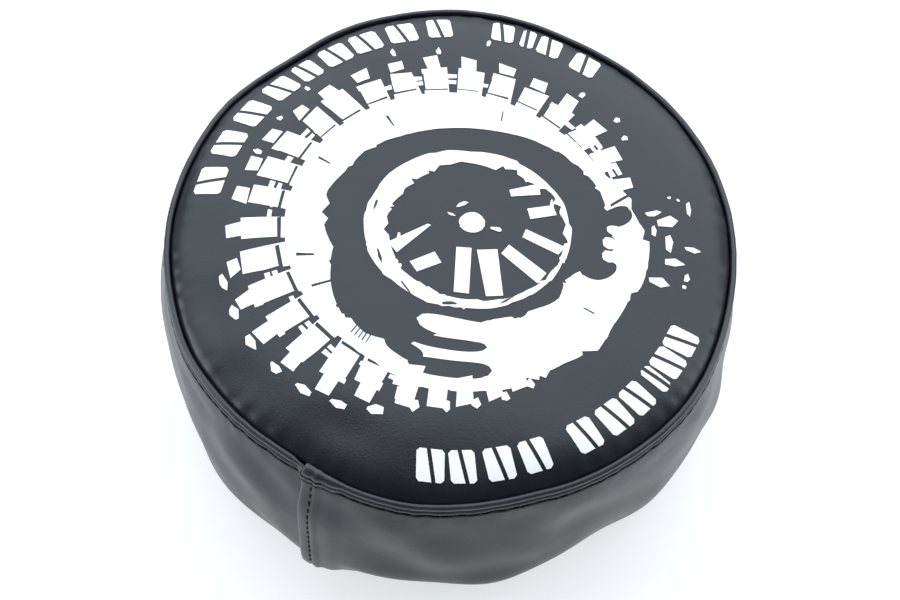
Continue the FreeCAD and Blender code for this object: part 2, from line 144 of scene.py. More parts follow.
def swell(x, y, seed, lengths):
    """Uneven soft undulation over a plane, about 1 high, with these wavelengths."""
    rng = np.random.default_rng(seed)
    total = np.zeros_like(x, float)
    for length in lengths:
        way = rng.uniform(0, 2 * math.pi)
        along = x * math.cos(way) + y * math.sin(way)
        total = total + np.cos(2 * math.pi * along / length + rng.uniform(0, 2 * math.pi))
    return total / math.sqrt(len(lengths))


def ease(t):
    """Smooth step from 0 to 1."""
    t = np.clip(t, 0, 1)
    return t * t * (3 - 2 * t)


def seam_radius(angle):
    return SEAM_RADIUS - 0.1 + bumps(angle, SEAM_WAVE) + 0.05 * ripple(angle, range(20, 44, 3), 5)


def seam_height(angle):
    """How far the whole seam is lifted or sags."""
    return bumps(angle, SEAM_SAG) + 0.06 * ripple(angle, range(14, 40, 3), 6)


def face_height(x, y):
    """Height of the face's outer side at a place inside the seam."""
    angle = np.arctan2(y, x)
    share = np.minimum(np.hypot(x, y) / seam_radius(angle), 1)
    edge = GROOVE_Z + seam_height(angle)
    height = edge + (CROWN_Z - edge) * np.sqrt(np.maximum(1 - share ** 5, 0))
    for azimuth, width, place, breadth, depth in FACE_DENTS:
        near = -(away(angle, azimuth) / width) ** 2 - ((share - place) / breadth) ** 2
        height = height - depth * np.exp(near)
    fade = 1 - share ** 8
    height = height + 0.11 * fade * swell(x, y, 11, (46, 38, 31, 27, 22))
    tucks = np.exp(-((1 - share) / 0.05) ** 2) * ease((1 - share) / 0.006)
    return height + 0.09 * tucks * ripple(angle, range(58, 104, 5), 12)


def wall_profile(height):
    """Radius of the wall and of the rib's outer side without their waves."""
    radius = WALL_RADIUS - (height - CROWN_Z / 2) ** 2 / BARREL
    radius = np.where(height > TOPSTITCH_Z, RIB_RADIUS, radius)
    # the rib's lower edge, the ridge below it and the pull of the topstitching
    for middle, breadth, rise in ((FOLD_Z - 1.45, 0.34, -0.34), (FOLD_Z - 2.2, 0.36, 0.08),
                                  (TOPSTITCH_Z - 0.05, 0.3, -0.35)):
        radius = radius + rise * np.exp(-((height - middle) / breadth) ** 2)
    return radius


ROLL = 8.2  # radius of the roll-under below the wall
ROLL_TILT = math.radians(8.3)
ROLL_TOP = ROLL * (1 - math.sin(ROLL_TILT))  # height at which wall and roll-under meet
ROLL_R = float(wall_profile(np.array(ROLL_TOP))) - ROLL * math.cos(ROLL_TILT)


def wall_stations():
    """Face side of the strip from its turned edge over the rib and down to the floor: radius,
    height, and how far the lap's upper layer lies outside the under layer there."""
    fold_r, fold_z = SEAM_RADIUS + FOLD_RADIUS, FOLD_Z - FOLD_RADIUS
    turned = [(SEAM_RADIUS, z, 0.1) for z in np.linspace(TURNED_Z, fold_z, 4)[:-1]]
    fold = [(fold_r - FOLD_RADIUS * math.cos(a), fold_z + FOLD_RADIUS * math.sin(a), 0.1 + 0.9 * a / math.pi)
            for a in np.linspace(0, math.pi, 8)[:-1]]
    heights = np.concatenate([np.linspace(fold_z, TOPSTITCH_Z - 0.9, 17),
                              np.linspace(TOPSTITCH_Z - 1.7, ROLL_TOP, 25)])
    wall = list(zip(wall_profile(heights), heights, np.ones_like(heights)))
    under = [(ROLL_R + ROLL * math.cos(a), ROLL * (1 - math.sin(a)), float(ease(1 - (a - ROLL_TILT) / 0.9)))
             for a in np.linspace(ROLL_TILT, math.pi / 2, 12)[1:]]
    return np.array(turned + fold + wall + under).T


def hem_dent(radius):
    """How far the hem's stitching pulls its cloth up from the floor."""
    return 0.42 * np.exp(-((radius - HEM_STITCH_RADIUS) / 0.75) ** 2)


def hem_stations():
    """Face side of the hem from the roll-under to its raw edge over the elastic."""
    half = CASING_HEIGHT / 2
    flat = [(r, hem_dent(r)) for r in np.linspace(ROLL_R, MOUTH_RADIUS + half, 20)]
    mouth = [(MOUTH_RADIUS + half - half * math.sin(a), half - half * math.cos(a))
             for a in np.linspace(0, math.pi, 10)[1:-1]]
    top = [(r, CASING_HEIGHT) for r in np.linspace(MOUTH_RADIUS + half, ELASTIC_HIGH.x - 0.2, 7)]
    low = 2 * LEATHER + 0.1
    closed = [(r, low + (CASING_HEIGHT - low) * (1 - float(ease((r - ELASTIC_HIGH.x) / 1.6))))
              for r in np.linspace(ELASTIC_HIGH.x + 0.1, HEM_STITCH_RADIUS + 1.6, 9)]
    return np.array(flat + mouth + top + closed).T


def gathers(shell, angle, radius):
    """Height of the folds that the elastic pulls into the hem, never below the floor."""
    near = 1 - ease((radius - MOUTH_RADIUS) / 9)
    far = np.exp(-((radius - 46) / 5.5) ** 2)
    drift = 0.05 * ripple(angle, (2, 3, 5, 7), 21)
    fine = 0.5 + 0.5 * np.sin(62 * (angle + drift) + 1.6 * ripple(angle, (9, 13, 17), 22))
    broad = 0.5 + 0.5 * np.sin(27 * (angle + drift) + 1.2 * ripple(angle, (4, 6, 11), 23))
    tame = 0.75 + 0.25 * np.clip(ripple(angle, (3, 5, 8), 24), -1, 1)
    return shell.gather_height / MM * tame * (near * fine + 0.85 * far * broad)


def seam_share(height):
    """How much of the seam's waves the wall follows at a height."""
    return ease((height - 24) / 19)


def band_shift(shell, angle, height):
    """How far the wall stands out from its plain round shape at a height."""
    share = seam_share(height)
    wave = bumps(angle, SEAM_WAVE) * share + bumps(angle, WALL_WAVE) * (1 - share)
    free = ease((TOPSTITCH_Z - 0.5 - height) / 7)
    buckles = ripple(angle + 0.012 * height, range(5, 21, 3), 31)
    buckles = buckles + 0.5 * swell(angle * WALL_RADIUS, 1.6 * height, 32, (34, 27, 21, 17))
    # small tucks that the topstitching pulls in
    tucks = 0.13 * np.exp(-((TOPSTITCH_Z - height) / 2.2) ** 2) * ripple(angle, range(37, 110, 9), 33)
    tucks = tucks * (0.6 + 0.4 * ripple(angle, (3, 5, 8), 34))
    # the lower wall leans in under a soft crease at the front
    front = bumps(angle, ((277, 27, 1.0),)) * (1 - bumps(angle, ((246, 6, 0.6),)))
    crease = 0.75 * np.exp(-((height - 13.0) / 4.0) ** 2)
    lean = -0.27 * np.clip(12 - height, 0, 12)
    return wave + free * shell.buckle_depth / MM * buckles + tucks + front * (crease + lean)


def band_point(shell, angle, radius, height, hem=False):
    """Place on the band's face side, from its radius and height on the plain round shape."""
    lift = gathers(shell, angle, radius)
    if hem:
        shift = band_shift(shell, angle, np.zeros_like(height))
        shift = shift * ease((radius - MOUTH_RADIUS + 2) / (ROLL_R - MOUTH_RADIUS + 2))
    else:
        shift = band_shift(shell, angle, height)
        lift = lift * ease(1 - height / 8.5) + seam_height(angle) * seam_share(height)
    radius = radius + shift
    return np.stack([radius * np.cos(angle), radius * np.sin(angle), height + lift], -1)


def unit(vectors):
    return vectors / np.linalg.norm(vectors, axis=-1, keepdims=True)


def band_frame(shell, angle, radius, height, hem=False):
    """Places on the band's face side and the directions out of it and along it."""
    step = 0.002
    here = band_point(shell, angle, radius, height, hem)
    along = unit(band_point(shell, angle + step, radius, height, hem) - here)
    down = np.gradient(here, axis=0)
    return here, unit(np.cross(down, along)), along


def under_layer(past):
    """How deep the strip lies at the floor, from its length past the lap's folded edge."""
    return LAP_DEPTH * ease((past + 3.5) / 3.4)


def lap_columns(count):
    """Columns of the strip from the turned-under flap, round the folded edge, round the cover and
    under again: azimuth, offset on the wall and offset at the floor."""
    flap = np.linspace(FLAP, LAP_FOLD, 4)[:-1]
    arc = np.linspace(-math.pi / 2, -3 * math.pi / 2, 9)
    edge = np.concatenate([flap, LAP_FOLD + LAP_FOLD * np.cos(arc)])
    proud = np.concatenate([np.full(3, LAP_PROUD), LAP_PROUD + LAP_FOLD + LAP_FOLD * np.sin(arc)])
    near = np.linspace(LAP_FOLD, 9.5, 24)[1:]
    far = np.linspace(9.5, LAP_TURN + UNDERLAP, count - len(edge) - len(near) + 1)[1:]
    run = np.concatenate([near, far])
    # the upper layer comes down past its flap and meets the under layer's end, and its stitching
    # pulls it in
    upper = LAP_DEPTH - (LAP_DEPTH - LEATHER - LAYER_GAP) * ease((run - FLAP + 0.1) / 1.2)
    upper = upper * (1 - ease((run - UNDERLAP) / 3.2))
    upper = upper - 0.22 * np.exp(-((run - LAP_MARGIN) / 0.5) ** 2)
    proud = np.concatenate([proud, upper])
    sunk = proud - LAP_DEPTH
    sunk[len(edge):] = -under_layer(run - LAP_TURN)
    azimuth = math.radians(LAP_ANGLE) + (np.concatenate([edge, run]) - LAP_MARGIN) / LAP_REF
    return azimuth, proud, sunk


def lap_offset(angle):
    """Offset of the outermost layer of the band at an azimuth."""
    azimuth, proud, _ = lap_columns(800)
    start = int(np.argmax(proud > 2 * LAP_FOLD - 0.01))
    first = azimuth[start]
    return np.interp((angle - first) % (2 * math.pi) + first, azimuth[start:], proud[start:], right=0)


# ---------------- meshes

def new_piece(name, points, faces):
    mesh = bpy.data.meshes.new(name)
    mesh.from_pydata(np.asarray(points).reshape(-1, 3) * MM, [], faces)
    mesh.update()
    piece = bpy.data.objects.new(name, mesh)
    bpy.context.scene.collection.objects.link(piece)
    return piece


def grid_faces(rows, columns, closed=False):
    """Quads of a grid of points, facing along (down the rows) x (along the columns)."""
    index = np.arange(rows * columns).reshape(rows, columns)
    if closed:
        index = np.concatenate([index, index[:, :1]], 1)
    quads = np.stack([index[:-1, :-1], index[1:, :-1], index[1:, 1:], index[:-1, 1:]], -1)
    return quads.reshape(-1, 4).tolist()


def add_attribute(piece, name, values):
    layer = piece.data.attributes.new(name, "FLOAT", "POINT")
    layer.data.foreach_set("value", np.asarray(values, np.float32).ravel())


def face_outwards(piece, upwards=False):
    """Recalculates a piece's normals so that they face out, or up on an open sheet."""
    mesh = bmesh.new()
    mesh.from_mesh(piece.data)
    bmesh.ops.recalc_face_normals(mesh, faces=mesh.faces)
    if upwards and sum(face.normal.z for face in mesh.faces) < 0:
        bmesh.ops.reverse_faces(mesh, faces=mesh.faces)
    mesh.to_mesh(piece.data)
    mesh.free()


def thicken(piece, thickness, lining=0):
    """Gives a face side its thickness; the inner side takes the material slot after it."""
    solid = piece.modifiers.new("thickness", "SOLIDIFY")
    solid.thickness = thickness
    solid.offset = -1
    solid.material_offset = lining
    solid.use_quality_normals = True


def settle(piece, sharp=40):
    """Turns modifiers into a plain mesh, smooth but for its sharp edges."""
    depsgraph = bpy.context.evaluated_depsgraph_get()
    mesh = bpy.data.meshes.new_from_object(piece.evaluated_get(depsgraph), depsgraph=depsgraph)
    old = piece.data
    piece.modifiers.clear()
    piece.data = mesh
    bpy.data.meshes.remove(old)
    mesh.name = piece.name
    mesh.shade_smooth()
    mesh.set_sharp_from_angle(angle=math.radians(sharp))


def finish_piece(piece, slot, *nodes):
    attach(piece, BODY)
    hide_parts(*nodes)


def finish_cloth(piece, painted_highlight, node, finishes):
    """Gives a sheet of leatherette its painted highlights along folded edges, its thickness and its lining.
    """
    # lighter colour painted along folded edges as a highlight
    add_attribute(piece, "painted_highlight", painted_highlight)
    thicken(piece, LEATHER * MM, lining=1)
    for key in ("leatherette", "backing"):
        piece.data.materials.append(finishes[key])
    settle(piece)
    finish_piece(piece, "leatherette", node)


# ---------------- shader maths

class Socket:
    """A node socket that Python's operators turn into Math nodes."""

    def __init__(self, material, socket):
        self.material, self.socket = material, socket

    def maths(self, operation, *values):
        return self.material.node("ShaderNodeMath", {"operation": operation}, *values)

    def __add__(self, other):
        return self.maths("ADD", self, other)

    def __sub__(self, other):
        return self.maths("SUBTRACT", self, other)

    def __mul__(self, other):
        return self.maths("MULTIPLY", self, other)

    def __rsub__(self, other):
        return self.maths("SUBTRACT", other, self)

    def clamped(self):
        return self.maths("MINIMUM", self.maths("MAXIMUM", self, 0.0), 1.0)

    def sine(self):
        return self.maths("SINE", self)

    __radd__ = __add__
    __rmul__ = __mul__


class Finish:
    """A material and the one way in which its nodes are made."""

    def __init__(self, name, **constants):
        self.material = bpy.data.materials.new(name)
        self.material.use_nodes = True
        self.tree = self.material.node_tree
        self.shader = self.tree.nodes["Principled BSDF"]
        for socket, value in constants.items():
            self.shader.inputs[socket.replace("_", " ")].default_value = value

    def node(self, kind, settings=None, *values, out=0, **named):
        made = self.tree.nodes.new(kind)
        for key, value in (settings or {}).items():
            if key == "stops":
                for stop, (place, colour) in zip(made.color_ramp.elements, value):
                    stop.position, stop.color = place, colour
            else:
                setattr(made, key, value)
        by_name = [(key.replace("_", " "), value) for key, value in named.items()]
        for key, value in list(enumerate(values)) + by_name:
            if isinstance(value, Socket):
                self.tree.links.new(value.socket, made.inputs[key])
            elif value is not None:
                made.inputs[key].default_value = value
        return Socket(self, made.outputs[out])

    def place(self):
        return self.node("ShaderNodeTexCoord", out="Object")

    def attribute(self, name):
        return self.node("ShaderNodeAttribute", {"attribute_name": name}, out="Fac")

    def noise(self, size, detail=2.0, roughness=0.5):
        return self.node("ShaderNodeTexNoise", Vector=self.place(), Scale=1 / size, Detail=detail,
                         Roughness=roughness)

    def cells(self, size):
        return self.node("ShaderNodeTexVoronoi", {"feature": "SMOOTH_F1"}, Vector=self.place(),
                         Scale=1 / size)

    def mix(self, share, first, second):
        """Mixes two colours; a Mix node's colours are its sockets 6 and 7."""
        return self.node("ShaderNodeMix", {"data_type": "RGBA"}, share, *[None] * 5, first, second, out=2)

    def shades(self, share, colour, dark, light):
        """One colour between a darker and a lighter tone of it."""
        return self.mix(share, tone(colour, dark), tone(colour, light))

    def bump(self, height, distance, strength, normal=None):
        return self.node("ShaderNodeBump", Height=height, Distance=distance, Strength=strength, Normal=normal)

    def feed(self, **sockets):
        for name, value in sockets.items():
            self.tree.links.new(value.socket, self.shader.inputs[name.replace("_", " ")])
        return self.material


def tone(colour, factor):
    return tuple(min(1.0, channel * factor) for channel in colour[:3]) + (1.0,)


def leatherette(shell):
    """Coated fabric with a fine pebble grain, with a lighter colour painted along folded edges as a
    highlight.
    """
    finish = Finish("black_leatherette", Specular_IOR_Level=0.43, Specular_Tint=(0.93, 0.98, 1.0, 1))
    grain = finish.cells(shell.grain_size)
    pores = finish.noise(shell.grain_size * 0.5)
    drift = finish.noise(0.022)
    fine = finish.noise(0.004, 3.0)
    painted_highlight = finish.attribute("painted_highlight")
    mottled = finish.shades((drift * 1.6 - 0.3).clamped(), shell.leather_colour, 0.85, 1.15)
    # painted highlight: a lighter colour along folded edges, broken up by fine noise
    share = ((painted_highlight * (0.55 + 0.9 * fine)) * 0.8).clamped()
    creases = finish.bump(finish.noise(0.0022, 3.0, 0.6), 0.00012, 0.12)
    return finish.feed(Base_Color=finish.mix(share, mottled, tuple(shell.highlight_colour)),
                       Roughness=0.36 + 0.08 * (drift - 0.5) + 0.10 * (fine - 0.5) - 0.06 * painted_highlight,
                       Normal=finish.bump(grain * 0.7 + pores * 0.3, 0.00007, 0.4, creases))


def backing(shell):
    """Brushed knit that carries the coating."""
    finish = Finish("woven_backing", Sheen_Weight=0.3)
    loops = finish.node("ShaderNodeTexWave", {"bands_direction": "DIAGONAL"}, Vector=finish.place(),
                        Scale=900.0, Distortion=2.0, Detail=1.0, out="Fac")
    fuzz = finish.noise(0.0009, 4.0, 0.7)
    colour = finish.shades((fuzz * 1.5 - 0.25).clamped(), shell.backing_colour, 0.7, 1.3)
    return finish.feed(Base_Color=colour, Roughness=0.85 + 0.1 * (fuzz - 0.5),
                       Normal=finish.bump(loops * 0.5 + fuzz, 0.0001, 0.6))


def film_finish(art):
    """Heat-pressed white film that takes on a trace of the grain below it."""
    finish = Finish("white_film")
    drift = finish.noise(0.012)
    specks = (finish.noise(0.0011, 3.0, 0.7) * 6.0 - 4.35).clamped()
    colour = finish.mix((specks * 0.5 + 0.25 * drift).clamped(), tuple(art.film_colour),
                        tone(art.film_colour, 0.90))
    return finish.feed(Base_Color=colour, Roughness=0.42 + 0.12 * (drift - 0.5),
                       Normal=finish.bump(finish.cells(0.0006), 0.00003, 0.4))


def thread_finish(stitching):
    """Bonded thread with the lay of its three plies."""
    finish = Finish("bonded_thread", Specular_IOR_Level=0.12)
    lay = (finish.attribute("lay") * (2 * math.pi)).sine()
    fibre = finish.noise(0.00015)
    share = (0.5 + 0.35 * lay + 0.5 * (fibre - 0.5)).clamped()
    # painted shade and highlight: the colour darkens in the grooves between the plies and lightens on their
    # crests
    colour = finish.shades(share, stitching.thread_colour, 0.55, 1.3)
    return finish.feed(Base_Color=colour, Roughness=0.55 + 0.2 * (fibre - 0.5),
                       Normal=finish.bump(lay * 0.5 + fibre * 0.3, 0.00004, 0.8))


def elastic_finish(stitching):
    """Braided elastic with ribs along its length."""
    finish = Finish("braided_elastic", Sheen_Weight=0.2)
    rib = (finish.attribute("rib") * (2 * math.pi)).sine()
    fuzz = finish.noise(0.0004, 3.0, 0.6)
    share = (0.5 + 0.4 * rib + 0.4 * (fuzz - 0.5)).clamped()
    # painted shade and highlight: the colour darkens between the ribs and lightens on them
    colour = finish.shades(share, stitching.elastic_colour, 0.7, 1.2)
    return finish.feed(Base_Color=colour, Roughness=0.8 + 0.1 * (fuzz - 0.5),
                       Normal=finish.bump(rib * 0.6 + fuzz * 0.4, 0.00012, 0.7))


# ---------------- the sewn shell

def make_face(shell, finishes):
    """Face panel: crowned disc that rounds over into the groove and turns down inside the rib."""
    columns = shell.columns_round
    angle = np.linspace(0, 2 * math.pi, columns, endpoint=False)
    share = np.concatenate([np.linspace(0.02, 0.80, 30), 1 - 0.2 * (1 - np.linspace(0, 1, 35)[1:]) ** 2.2])
    x, y = (share[:, None] * seam_radius(angle) * wave(angle) for wave in (np.cos, np.sin))
    top = np.stack([x, y, face_height(x, y)], -1)
    turned = np.repeat(top[-1:], 3, 0)
    turned[..., 2] -= np.linspace(0, GROOVE_Z - TURNED_Z, 4)[1:, None]
    points = np.concatenate([top, turned])
    faces = grid_faces(len(points), columns, closed=True)
    pole = len(points) * columns
    faces += [(pole, k, (k + 1) % columns) for k in range(columns)]
    crown = [0, 0, float(face_height(np.array(0.0), np.array(0.0)))]
    piece = new_piece("face_panel_cloth", np.concatenate([points.reshape(-1, 3), [crown]]), faces)
    # painted highlight along the face's rounded edge at the seam
    seam_highlight = 0.5 * np.exp(-((1 - share) / 0.012) ** 2) * (share < 0.999)
    painted_highlight = np.concatenate([np.repeat(seam_highlight, columns), np.zeros(3 * columns + 1)])
    finish_cloth(piece, painted_highlight, "face_panel", finishes)


def spread(azimuth, *stations):
    """Grid of azimuths and of the radius, height and so on of each row."""
    angle = np.broadcast_to(azimuth, (len(stations[0]), len(azimuth)))
    return (angle, *(np.broadcast_to(row[:, None], angle.shape) for row in stations))


def make_wall(shell, finishes):
    """Band's folded rib, wall and roll-under, one strip whose ends are lapped and sewn."""
    azimuth, proud, sunk = lap_columns(shell.columns_round * 3 // 2)
    angle, radius, height, stacked = spread(azimuth, *wall_stations())
    here, out, _ = band_frame(shell, angle, radius, height)
    offset = stacked * proud + (1 - stacked) * sunk
    points = here + out * offset[..., None]
    points[..., 2] = np.maximum(points[..., 2], 0)
    piece = new_piece("side_wall_cloth", points, grid_faces(*angle.shape))
    # painted highlights: a lighter colour along the rib's folded top, on the ridge above the topstitching and
    # on the lap's folded edge
    outside = radius > SEAM_RADIUS + 0.3
    rib = np.exp(-((height - FOLD_Z + 0.7) / 0.8) ** 2) * outside
    ridge = 0.5 * np.exp(-((height - FOLD_Z + 2.2) / 0.5) ** 2) * outside
    folded = azimuth[8]
    fold = np.exp(-(((azimuth - folded) * LAP_REF) / 0.6) ** 2) * (proud > 0.3)
    finish_cloth(piece, np.maximum(rib + ridge, 0.9 * fold), "side_band", finishes)


def make_hem(shell, finishes):
    """Band's hem: gathered under the cover, folded at the mouth and sewn round the elastic."""
    azimuth = np.linspace(0, 2 * math.pi, shell.columns_round * 3 // 2, endpoint=False)
    angle, radius, height = spread(azimuth, *hem_stations())
    points = band_point(shell, angle, radius, height, hem=True)
    # beside the lap's folded edge the rim rises with the wall's under layer
    past = ((angle - math.radians(LAP_ANGLE)) * LAP_REF + LAP_MARGIN) % LAP_TURN - LAP_TURN
    points[..., 2] += under_layer(past) * ease(1 - (ROLL_R - radius) / 5)
    piece = new_piece("hem_cloth", points, grid_faces(*angle.shape, closed=True))
    # painted highlight along the fold at the hem's mouth
    finish_cloth(piece, 0.5 * np.exp(-((radius - MOUTH_RADIUS) / 0.8) ** 2), "side_band", finishes)


def make_elastic(stitching, shell, finishes):
    """Flat elastic in the hem, its ends lapped."""
    turns = np.linspace(0, 2 * math.pi + math.radians(ELASTIC_OVERLAP), 560)
    azimuth = math.radians(ELASTIC_START) + turns
    reach, half = ELASTIC_WIDTH / 2, stitching.elastic_thickness / MM / 2
    climb = ease((turns - 2 * math.pi + 0.12) / 0.12)
    middle = CASING_HEIGHT / 2 - half * 0.5 + (2 * half + 0.05) * climb
    # section: place across the width, height, and phase of the ribs there
    section = ((-1, 0.75, 0.0), (-0.96, 1, 0.1), (0.96, 1, 5.9), (1, 0.75, 6.0),
               (1, -0.75, 6.0), (0.96, -1, 5.9), (-0.96, -1, 0.1), (-1, -0.75, 0.0))
    side, way, phase = (np.array(column)[:, None] for column in zip(*section))
    radius = np.broadcast_to(ELASTIC_HIGH.x - reach + side * reach, (len(section), len(azimuth)))
    rows = band_point(shell, azimuth[None], radius, middle[None] + way * half, hem=True)
    points = rows.transpose(1, 0, 2)
    count = len(section)
    last = (len(azimuth) - 1) * count
    faces = grid_faces(len(azimuth), count, closed=True)
    faces += [tuple(range(count)), tuple(range(last + count - 1, last - 1, -1))]
    piece = new_piece("elastic_webbing", points, faces)
    add_attribute(piece, "rib", np.tile(phase.ravel(), len(azimuth)))
    piece.data.materials.append(finishes["elastic"])
    face_outwards(piece)
    settle(piece, 60)
    finish_piece(piece, "elastic", "elastic_band")


# ---------------- stitching

ARCH = 0.42  # how far a stitch bows, in thicknesses of its thread
STITCH_STRAY, STITCH_TILT = 0.03, 0.07  # how uneven the stitches are: share of a stitch, slope
LAP_STITCH, TACK_LENGTH = 0.0015, 0.0036  # seen length of the lap's stitches and of a tack bar


def stitch_nodes():
    """Geometry Nodes tree that puts an arched, three-ply stitch on every vertex of a seam."""
    tree = bpy.data.node_groups.new("seam_stitches", "GeometryNodeTree")
    tree.is_modifier = True
    for name, kind in (("Seam", "NodeSocketGeometry"), ("Stitch Length", "NodeSocketFloat"),
                       ("Thread Thickness", "NodeSocketFloat"), ("Arch", "NodeSocketFloat"),
                       ("Thread", "NodeSocketMaterial")):
        tree.interface.new_socket(name, in_out="INPUT", socket_type=kind)
    tree.interface.new_socket("Stitches", in_out="OUTPUT", socket_type="NodeSocketGeometry")

    def node(kind, settings=None, **links):
        made = tree.nodes.new(kind)
        for key, value in (settings or {}).items():
            setattr(made, key, value)
        for key, value in links.items():
            socket = made.inputs[int(key[1:])] if key[0] == "_" else made.inputs[key.replace("_", " ")]
            if isinstance(value, bpy.types.NodeSocket):
                tree.links.new(value, socket)
            else:
                socket.default_value = value
        return made

    sizes = node("NodeGroupInput").outputs

    def times(socket, factor):
        return node("ShaderNodeMath", {"operation": "MULTIPLY"}, _0=socket, _1=factor).outputs[0]

    def point(x, z):
        return node("ShaderNodeCombineXYZ", X=x, Z=z).outputs[0]

    start = point(times(sizes["Stitch Length"], -0.5), times(sizes["Arch"], -1.0))
    middle = point(times(sizes["Stitch Length"], 0.0), times(sizes["Arch"], 1.7))
    end = point(times(sizes["Stitch Length"], 0.5), times(sizes["Arch"], -1.0))
    arch = node("GeometryNodeCurveQuadraticBezier", Resolution=6, Start=start, Middle=middle, End=end)
    ring = node("GeometryNodeCurvePrimitiveCircle", _0=6, Radius=times(sizes["Thread Thickness"], 0.5))
    plies = times(node("GeometryNodeSplineParameter").outputs["Factor"], 3.0)

    def store(made, name, value):
        return node("GeometryNodeStoreNamedAttribute", {"data_type": "FLOAT", "domain": "POINT"},
                    Geometry=made.outputs[0], Name=name, Value=value).outputs[0]

    def named(name, kind):
        return node("GeometryNodeInputNamedAttribute", {"data_type": kind}, Name=name).outputs[0]

    tube = node("GeometryNodeCurveToMesh", Curve=store(arch, "run", plies),
                Profile_Curve=store(ring, "turn", plies), Fill_Caps=True)
    lay = node("ShaderNodeMath", {"operation": "ADD"}, _0=named("run", "FLOAT"), _1=named("turn", "FLOAT"))
    smooth = node("GeometryNodeSetShadeSmooth", Geometry=store(tube, "lay", lay.outputs[0]))
    axes = node("FunctionNodeAxesToRotation", {"primary_axis": "Z", "secondary_axis": "X"},
                Primary_Axis=named("outwards", "FLOAT_VECTOR"),
                Secondary_Axis=named("seamwards", "FLOAT_VECTOR"))
    copies = node("GeometryNodeInstanceOnPoints", Points=sizes["Seam"], Instance=smooth.outputs[0],
                  Rotation=axes.outputs[0])
    real = node("GeometryNodeRealizeInstances", Geometry=copies.outputs[0])
    painted = node("GeometryNodeSetMaterial", Geometry=real.outputs[0], Material=sizes["Thread"])
    node("NodeGroupOutput", _0=painted.outputs[0])
    return tree


def sew(row, places, outwards, seamwards, stitching, tree, thread, node=None, length=None):
    """Makes one row of stitches at these places and puts it in a CAD thread's stead."""
    piece = new_piece(f"{row}_stitches", places, [])
    for key, values in (("outwards", outwards), ("seamwards", seamwards)):
        layer = piece.data.attributes.new(key, "FLOAT_VECTOR", "POINT")
        layer.data.foreach_set("vector", np.asarray(values, np.float32).ravel())
    modifier = piece.modifiers.new("stitches", "NODES")
    modifier.node_group = tree
    sockets = {item.name: item.identifier for item in tree.interface.items_tree if item.in_out == "INPUT"}
    modifier[sockets["Stitch Length"]] = length or stitching.stitch_length
    modifier[sockets["Thread Thickness"]] = stitching.thread_thickness
    modifier[sockets["Arch"]] = stitching.thread_thickness * ARCH
    modifier[sockets["Thread"]] = thread
    settle(piece, 70)
    finish_piece(piece, "thread", node or f"{row}_thread")


def sew_ring(row, count, frame_of, lift, common, start=0.0, flip=False):
    """Round seam whose places come from frame_of(azimuths) -> places, outwards, along."""
    azimuth = np.radians(start) + 2 * math.pi * np.arange(count) / count
    rng = np.random.default_rng(len(f"{row}_stitches") + count)
    azimuth = azimuth + rng.normal(0, STITCH_STRAY, count) * 2 * math.pi / count
    places, outwards, along = frame_of(azimuth)
    tilt = STITCH_TILT * rng.normal(0, 1, (count, 1))
    along = unit(along + tilt * np.cross(outwards, along))
    way = -outwards if flip else outwards
    sew(row, places + way * lift, way, along, *common)


def seam_frame(radius, height):
    """Frame maker for the stitching that holds face and band together inside the rib."""
    def frame_of(azimuth):
        flat = np.zeros_like(azimuth)
        out = np.stack([np.cos(azimuth), np.sin(azimuth), flat], -1)
        places = out * (radius + bumps(azimuth, SEAM_WAVE))[:, None]
        places[:, 2] = height + seam_height(azimuth)
        return places, out, np.stack([-np.sin(azimuth), np.cos(azimuth), flat], -1)
    return frame_of


def band_seam(shell, hem=False):
    """Frame maker for the stitching on the band's face side: the topstitching or the hem's."""
    def frame_of(azimuth):
        # a row on either side gives the slope of the cloth
        down = np.broadcast_to(np.array([[0.25], [0.0], [-0.25]]), (3, len(azimuth)))
        radii = HEM_STITCH_RADIUS + down
        heights = hem_dent(radii)
        if not hem:
            heights = TOPSTITCH_Z - 0.2 + down
            radii = wall_profile(heights)
        angle = np.broadcast_to(azimuth, down.shape)
        here, out, along = band_frame(shell, angle, radii, heights, hem)
        lap = 0 * azimuth if hem else lap_offset(azimuth)
        return here[1] + out[1] * lap[:, None], out[1], along[1]
    return frame_of


